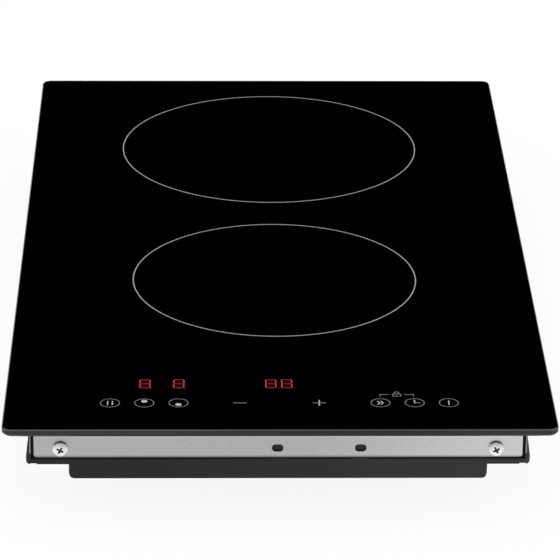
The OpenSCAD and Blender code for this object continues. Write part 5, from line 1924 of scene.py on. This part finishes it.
@dataclass
class Electronics(SubAssembly):
    """The power board and the filter board with all that stands on them."""

    films: int = 4
    cans: int = 2
    can_foot: tuple[Point, ...] = ((0.0, 0.0), (0.94, 0.0), (0.99, 0.02), (1.0, 0.05))
    can_neck: tuple[Point, ...] = ((1.0, 0.80), (0.93, 0.84), (1.0, 0.88))
    can_lip: tuple[Point, ...] = ((1.0, 0.95), (0.97, 0.985), (0.91, 1.0), (0.86, 0.985))
    can_top: tuple[Point, ...] = ((0.84, 0.965), (0.0, 0.965))
    can_lid: Point = (0.86, 0.94)
    score: Point = (0.55, 0.03)
    score_z: float = 0.95
    stripe: float = 0.9
    film_w: float = 0.034
    film_d: float = 0.013
    film_h: float = 0.017
    pitch: float = 0.017
    can_r: float = 0.007
    can_step: float = 0.007
    choke_r: float = 0.017
    choke_in_r: float = 0.009
    choke_h: float = 0.011
    choke_lift: float = 0.0022
    choke_wire: float = 0.0008
    choke_turns: int = 4
    choke_angle: float = 15.0
    choke_fill: float = 0.94
    choke_round: float = 0.0014
    foot_inset: float = 0.001
    yoke: float = 0.004
    disc_x: float = 0.04
    painted_shade_arris: float = 0.00015
    film_round: float = 0.0008
    tube_share: float = 0.25

    def build(self) -> None:
        """Builds the boards and their components."""
        self.soften("power_board", (Finishes.BOARD.value,), self.painted_shade_arris, "circuit_board")
        self.soften("filter_board", (Finishes.BOARD.value,), self.painted_shade_arris, "circuit_board")
        self.soften("heatsink", (Finishes.EXTRUSION.value,), FINE, "aluminium_sheet")
        self.soften("power_transistors", (Finishes.EPOXY.value,), SMALL, "component_black")
        self.build_power_capacitors()
        self.build_choke()
        self.soften(
            "supply_transformer", (Finishes.FERRITE.value, Finishes.FILM.value), EASED,
            "component_grey", sort=self.transformer_part,
        )
        self.soften(
            "filter_capacitors", (Finishes.FILM.value, Finishes.DISC.value), self.film_round,
            "component_yellow", sort=lambda face: int(face.calc_center_median().x < self.disc_x),
            segments=3,
        )
        self.soften(
            "line_fuse", (Finishes.TIN.value, Finishes.PORCELAIN.value), HAIR, "fuse_glass",
            sort=self.fuse_part,
        )
        self.dress({"lead_tabs": Finishes.TIN.value, "board_screws": Finishes.ZINC.value})

    def build_power_capacitors(self) -> None:
        """Builds the film capacitors in their cases and the two round cans."""
        low, high = corners("power_capacitors")
        bm = bmesh.new()
        for i in range(self.films):
            far = Vector((low.x + self.film_w, high.y - i * self.pitch, low.z + self.film_h))
            others = set(bm.faces)
            block(bm, far - Vector((self.film_w, self.film_d, self.film_h)), far)
            fresh = set(bm.faces) - others
            round_off(bm, {e for f in fresh for e in f.edges}, self.film_round, 3)
        for i in range(self.cans):
            x = high.x - self.can_r - i * self.can_step
            can = self.can(high.z - low.z)
            merge(bm, can, Matrix.Translation((x, low.y + self.can_r + i * self.pitch, low.z)))
        case = (Finishes.FILM.value, Finishes.SLEEVE.value)
        wear = (*case, Finishes.STRIPE.value, Finishes.ALUMINIUM.value)
        node = ("power_capacitors",)
        Piece("power_capacitor_set", wear, CASING, node, "component_yellow").from_bmesh(bm)

    def can(self, height: float) -> BMesh:
        """One round capacitor: a sleeved can with a rolled neck, a scored top and a marked side.

        Args:
            height: its height.

        Returns:
            The can, upright on the origin.
        """
        r, h = self.can_r, height
        shares = (*self.can_foot, *self.can_neck, *self.can_lip, *self.can_top)
        bm = bmesh.new()
        turned(bm, [(r * out, h * up) for out, up in shares], 48)
        bmesh.ops.recalc_face_normals(bm, faces=bm.faces)
        for x, y in (self.score, self.score[::-1]):
            knife = bmesh.new()
            block(knife, Vector((-r * x, -r * y, h * self.score_z)), Vector((r * x, r * y, h)))
            bm = carve(bm, knife)
        for face in bm.faces:
            middle = face.calc_center_median()
            inside = reach(face, Vector()) < r * self.can_lid[0]
            lid = inside and middle.z > h * self.can_lid[1]
            marked = middle.x > r * self.stripe and abs(face.normal.z) < 0.9
            face.material_index = 3 if lid else 2 if marked else 1
        return bm

    def build_choke(self) -> None:
        """Winds the choke: a coated ring core on a foot, with turns of thick wire on both sides."""
        low, high = corners("filter_choke")
        middle = (low + high) / 2
        middle.z = low.z + self.choke_lift
        gap = self.choke_wire
        near, far = (self.choke_in_r - gap, -gap), (self.choke_r + gap, self.choke_h + gap)
        section = rounded(near, far, self.choke_wire * 2)
        loops = []
        for side in (0.0, 180.0):
            for k in range(-self.choke_turns, self.choke_turns + 1):
                turn = Matrix.Rotation(math.radians(side + k * self.choke_angle), 4, "Z")
                route = [middle + turn @ Vector((r, 0, z)) for r, z in section]
                loops.append(swept(route, self.choke_wire * self.choke_fill, 10, True))
        bm = joined(loops)
        core = bmesh.new()
        ring = rounded((self.choke_in_r, 0.0), (self.choke_r, self.choke_h), self.choke_round)
        turned(core, [*ring, ring[0]], 72)
        paint(core.faces, 1)
        merge(bm, core, Matrix.Translation(middle))
        foot = bmesh.new()
        tall = self.choke_lift - 2 * gap
        seat = Vector((middle.x, middle.y, low.z + tall / 2))
        rod(foot, seat, self.choke_r - self.foot_inset, tall, sides=64)
        paint(foot.faces, 2)
        merge(bm, foot)
        wear = (Finishes.CHOKE_WIRE.value, Finishes.CHOKE_CORE.value, Finishes.EPOXY.value)
        choke = Piece("wound_choke", wear, CASING, ("filter_choke",), "copper_wire", smooth=50.0)
        choke.from_bmesh(bm)

    def transformer_part(self, face: BMFace) -> int:
        """Returns 0 for a face of the transformer's core, 1 for one of its taped winding."""
        low, high = corners("supply_transformer")
        return int(low.z + self.yoke < face.calc_center_median().z < high.z - self.yoke)

    def fuse_part(self, face: BMFace) -> int:
        """Sorts the fuse's faces.

        Args:
            face: one of them.

        Returns:
            0 for a cap's or clip's face, 1 for the tube's.
        """
        low, high = corners("line_fuse")
        away = abs(face.calc_center_median().y - (low.y + high.y) / 2)
        return int(away < (high.y - low.y) * self.tube_share)


@dataclass
class Fan(SubAssembly):
    """The cooling fan: housing, motor and impeller."""

    hub_r: float = 0.0135
    hub_wall: float = 0.002
    hub_lift: float = 0.004
    hub_floor: float = 0.002
    bore: float = 0.0016
    disc: float = 0.0015
    edge: float = 0.00045
    fillet: float = 0.001
    rim: float = 0.003
    blades: int = 24
    blade_steps: int = 8
    blade_in_r: float = 0.027
    blade_t: float = 0.001
    blade_sweep: float = 14.0
    blade_curl: float = 1.6
    blade_thin: float = 0.35
    blade_bulge: Point = (0.1, 0.9)
    shaft_reach: float = 0.003
    stator_reach: float = 0.0105

    def build(self) -> None:
        """Builds the fan."""
        self.soften("fan_housing", (Finishes.FAN.value,), EASED, "black_plastic")
        self.soften(
            "fan_motor", (Finishes.FRAME.value, Finishes.MOTOR.value, Finishes.WIRE.value), SMALL,
            "motor_grey", sort=self.motor_part,
        )
        self.build_rotor()
        self.dress({"fan_screws": Finishes.ZINC.value})

    def motor_part(self, face: BMFace) -> int:
        """Sorts the motor's faces.

        Args:
            face: one of them.

        Returns:
            0 for a face of its flange, 1 for its stator, 2 for its shaft.
        """
        low, high = corners("fan_motor")
        away = reach(face, (low + high) / 2)
        return 2 if away < self.shaft_reach else 1 if away < self.stator_reach else 0

    def build_rotor(self) -> None:
        """Builds the impeller: a hub on a back disc, a front ring and swept blades between them."""
        low, high = corners("fan_rotor")
        axis = (low + high) / 2
        r, tall = (high.x - low.x) / 2, high.z - low.z
        lift, edge, fillet = self.hub_lift, self.edge, self.fillet
        under = tall - self.disc
        outline = [
            (self.bore, lift),
            *arc((self.hub_r - fillet, lift + fillet), fillet, -90, 0, 4),
            *arc((self.hub_r + fillet, under - fillet), fillet, 180, 90, 4),
            *arc((r - edge, under + edge), edge, -90, 0, 3),
            *arc((r - edge, tall - edge), edge, 0, 90, 3),
            (self.hub_r - self.hub_wall, tall),
            (self.hub_r - self.hub_wall, lift + self.hub_floor),
            (self.bore, lift + self.hub_floor),
            (self.bore, lift),
        ]
        bm = bmesh.new()
        turned(bm, outline, 96)
        ring = rounded((r - self.rim, 0.0), (r, self.disc), edge, 3)
        turned(bm, [*ring, ring[0]], 96)
        for k in range(self.blades):
            self.add_blade(bm, r - edge, tall, math.tau * k / self.blades)
        bmesh.ops.translate(bm, verts=bm.verts, vec=(axis.x, axis.y, low.z))
        finishes = (Finishes.FAN.value,)
        Piece("swept_rotor", finishes, "impeller", ("fan_rotor",), "black_plastic").from_bmesh(bm)

    def add_blade(self, bm: BMesh, out_r: float, tall: float, start: float) -> None:
        """Adds one blade, thickest in its middle and swept forward towards its tip.

        Args:
            bm: the mesh to add to.
            out_r: how far out the blade reaches.
            tall: the impeller's height.
            start: the blade's first angle.
        """
        steps = self.blade_steps
        shares = [i / steps for i in range(steps + 1)]
        spine = []
        for share in shares:
            radius = self.blade_in_r + (out_r - self.blade_in_r) * share
            angle = start + math.radians(self.blade_sweep) * share ** self.blade_curl
            spine.append(Vector((radius * math.cos(angle), radius * math.sin(angle), 0)))
        first, last = self.blade_bulge
        sides: tuple[list[Vector], list[Vector]] = ([], [])
        for i, point in enumerate(spine):
            onward = (spine[min(i + 1, steps)] - spine[max(i - 1, 0)]).normalized()
            bulge = math.sin(math.pi * (first + (last - first) * shares[i]))
            half = self.blade_t / 2 * (self.blade_thin + (1.0 - self.blade_thin) * bulge)
            aside = Vector((-onward.y, onward.x, 0)) * half
            sides[0].append(point + aside)
            sides[1].append(point - aside)
        outline = (Vector((p.x, p.y, self.edge)) for p in sides[0] + sides[1][::-1])
        prism(bm, outline, Vector((0, 0, tall - 3 * self.edge)))


@dataclass
class TerminalBox(SubAssembly):
    """The terminal box at the rear, its hinged door, block, screws and the leads inwards."""

    def build(self) -> None:
        """Builds the terminal box and what is in it."""
        self.soften("terminal_box", (Finishes.BOX.value,), BROAD, "black_plastic")
        door = "terminal_door"
        self.soften(door, (Finishes.BOX.value,), EASED, "black_plastic", body=door)
        self.soften("terminal_block", (Finishes.IVORY.value,), SMALL, "ivory_plastic")
        self.soften("lead_grommet", (Finishes.RUBBER.value,), EASED, "silicone")
        leads = (Finishes.BROWN_LEAD.value, Finishes.BLUE_LEAD.value, Finishes.EARTH_LEAD.value)
        self.soften("mains_leads", leads, SMALL, "mains_insulation", sort=self.lead_colour)
        self.dress(
            {
                "terminal_screws": Finishes.GILT.value,
                "door_pin": Finishes.ZINC.value,
                "terminal_box_screws": Finishes.ZINC.value,
            }
        )

    def lead_colour(self, face: BMFace) -> int:
        """Sorts the faces of the three leads.

        Args:
            face: one of them.

        Returns:
            0 for the live lead, 1 for neutral, 2 for earth.
        """
        low, high = corners("mains_leads")
        share = (face.calc_center_median().x - low.x) / (high.x - low.x)
        return min(2, int(share * 3))


# ---------------------------------------------------------------- camera, light and floor


@dataclass
class Camera:
    """The camera, by its place and its turns."""

    place: tuple[float, float, float] = (-0.0367, -1.9463, 0.8684)
    pitch: float = 23.354
    yaw: float = 1.213
    roll: float = 0.473
    lens: float = 233.4
    sensor: float = 36.0
    far: float = 50.0

    def build(self) -> None:
        """Makes the camera the scene's own."""
        pitch, yaw, roll = (math.radians(a) for a in (self.pitch, self.yaw, self.roll))
        ahead = Vector(
            (math.sin(yaw) * math.cos(pitch), math.cos(yaw) * math.cos(pitch), -math.sin(pitch))
        )
        level = Vector((math.cos(yaw), -math.sin(yaw), 0.0))
        upright = level.cross(ahead)
        right = math.cos(roll) * level + math.sin(roll) * upright
        top = -math.sin(roll) * level + math.cos(roll) * upright
        data = bpy.data.cameras.new("camera")
        data.lens = self.lens
        data.sensor_width = self.sensor
        data.clip_end = self.far
        camera = bpy.data.objects.new("camera", data)
        turn = Matrix((right, top, -ahead)).transposed().to_4x4()
        camera.matrix_world = Matrix.Translation(self.place) @ turn
        bpy.context.scene.collection.objects.link(camera)
        bpy.context.scene.camera = camera


@dataclass
class Lamp:
    """A square softbox that looks at the cooktop."""

    name: str
    place: tuple[float, float, float]
    size: float
    power: float
    target: tuple[float, float, float] = (0.0, 0.0, 0.05)

    def build(self) -> None:
        """Hangs the lamp."""
        data = bpy.data.lights.new(self.name, "AREA")
        data.shape = "SQUARE"
        data.size = self.size
        data.energy = self.power
        lamp = bpy.data.objects.new(self.name, data)
        lamp.location = self.place
        aim = Vector(self.target) - Vector(self.place)
        lamp.rotation_euler = aim.to_track_quat("-Z", "Y").to_euler()
        bpy.context.scene.collection.objects.link(lamp)


@dataclass
class Studio:
    """A plain white studio: an even sky, softboxes and a white floor that keeps the shadow.

    In mirrors the sky falls from the first value of horizon to nothing at the height of the
    second, and rises again to the first value of zenith from the height of the second.
    """

    floor_radius: float = 6.0
    sky: float = 0.68
    horizon: Point = (0.9, 0.06)
    zenith: Point = (0.45, 0.72)
    floor_keep: float = 0.09
    floor_drop: float = 0.0002
    lamps: tuple[Lamp, ...] = (
        Lamp("top_softbox", (0.3, -0.2, 3.2), 4.5, 27.0),
        Lamp("left_softbox", (-2.4, -0.3, 1.9), 2.4, 17.0),
        Lamp("right_softbox", (2.4, -0.5, 1.9), 2.4, 24.0),
        Lamp("front_left_box", (-1.3, -1.9, 1.6), 0.5, 7.0),
        Lamp("front_right_box", (1.3, -1.9, 1.6), 0.5, 7.0),
    )

    def build(self) -> None:
        """Builds the studio."""
        scene = bpy.context.scene
        scene.view_settings.view_transform = "Standard"
        self.build_sky()
        self.build_floor()
        for lamp in self.lamps:
            lamp.build()

    def build_sky(self) -> None:
        """Shades the sky: white to the camera, even as light, and dark at mid height in mirrors."""
        world = bpy.data.worlds.new("studio sky")
        bpy.context.scene.world = world
        world.use_nodes = True
        graph = ShaderGraph(world.node_tree)
        _, _, height = graph.axes(graph.add("ShaderNodeTexCoord", output="Generated"))
        horizon = height.between(self.horizon[0], 0.0, 0.0, self.horizon[1])
        zenith = height.between(0.0, self.zenith[0], self.zenith[1], 1.0)
        mirrored = horizon + zenith
        camera = graph.add("ShaderNodeLightPath", output="Is Camera Ray")
        glossy = graph.add("ShaderNodeLightPath", output="Is Glossy Ray")
        strength = camera + (1.0 - camera) * (glossy * mirrored + (1.0 - glossy) * self.sky)
        sky = graph.add("ShaderNodeBackground", None, {"Color": (1, 1, 1, 1), "Strength": strength})
        graph.add("ShaderNodeOutputWorld", None, {"Surface": sky})

    def build_floor(self) -> None:
        """Builds the floor: a white disc under the cooktop."""
        bm = bmesh.new()
        bmesh.ops.create_circle(bm, cap_ends=True, segments=96, radius=self.floor_radius)
        mesh = bpy.data.meshes.new("floor")
        bm.to_mesh(mesh)
        bm.free()
        floor = bpy.data.objects.new("floor", mesh)
        floor.location.z = corners("base_tray")[0].z - self.floor_drop
        bpy.context.scene.collection.objects.link(floor)
        material = bpy.data.materials.new("white floor")
        material.use_nodes = True
        graph = ShaderGraph(material.node_tree)
        seen = graph.add("ShaderNodeLightPath", output="Is Camera Ray")
        mirrored = graph.add("ShaderNodeLightPath", output="Is Glossy Ray")
        matt = graph.add("ShaderNodeBsdfDiffuse", None, {"Color": (0.9, 0.9, 0.9, 1)})
        glow = graph.add("ShaderNodeEmission", None, {"Color": (1, 1, 1, 1), "Strength": 1.0})
        share = seen.maths("MAXIMUM", mirrored) * (1.0 - self.floor_keep)
        mixed = graph.add("ShaderNodeMixShader", None, {0: share, 1: matt, 2: glow})
        graph.add("ShaderNodeOutputMaterial", None, {"Surface": mixed})
        mesh.materials.append(material)


# ---------------------------------------------------------------- all of it


def main() -> None:
    """Builds the cooktop, the camera and the studio."""
    logging.basicConfig(level=logging.INFO, format="%(name)s %(message)s")
    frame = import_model()
    nodes = frame["nodes"]
    groups = (
        GlassTop(nodes),
        FixingRails(nodes),
        Tray(nodes),
        CoilZone(nodes),
        CoilZone(nodes, "front", 0.068),
        Controls(nodes),
        Electronics(nodes),
        Fan(nodes),
        TerminalBox(nodes),
    )
    for group in groups:
        LOG.info("building %s", type(group).__name__)
        group.build()
    Camera().build()
    Studio().build()
    bpy.context.view_layer.update()


if __name__ == "__main__":
    main()
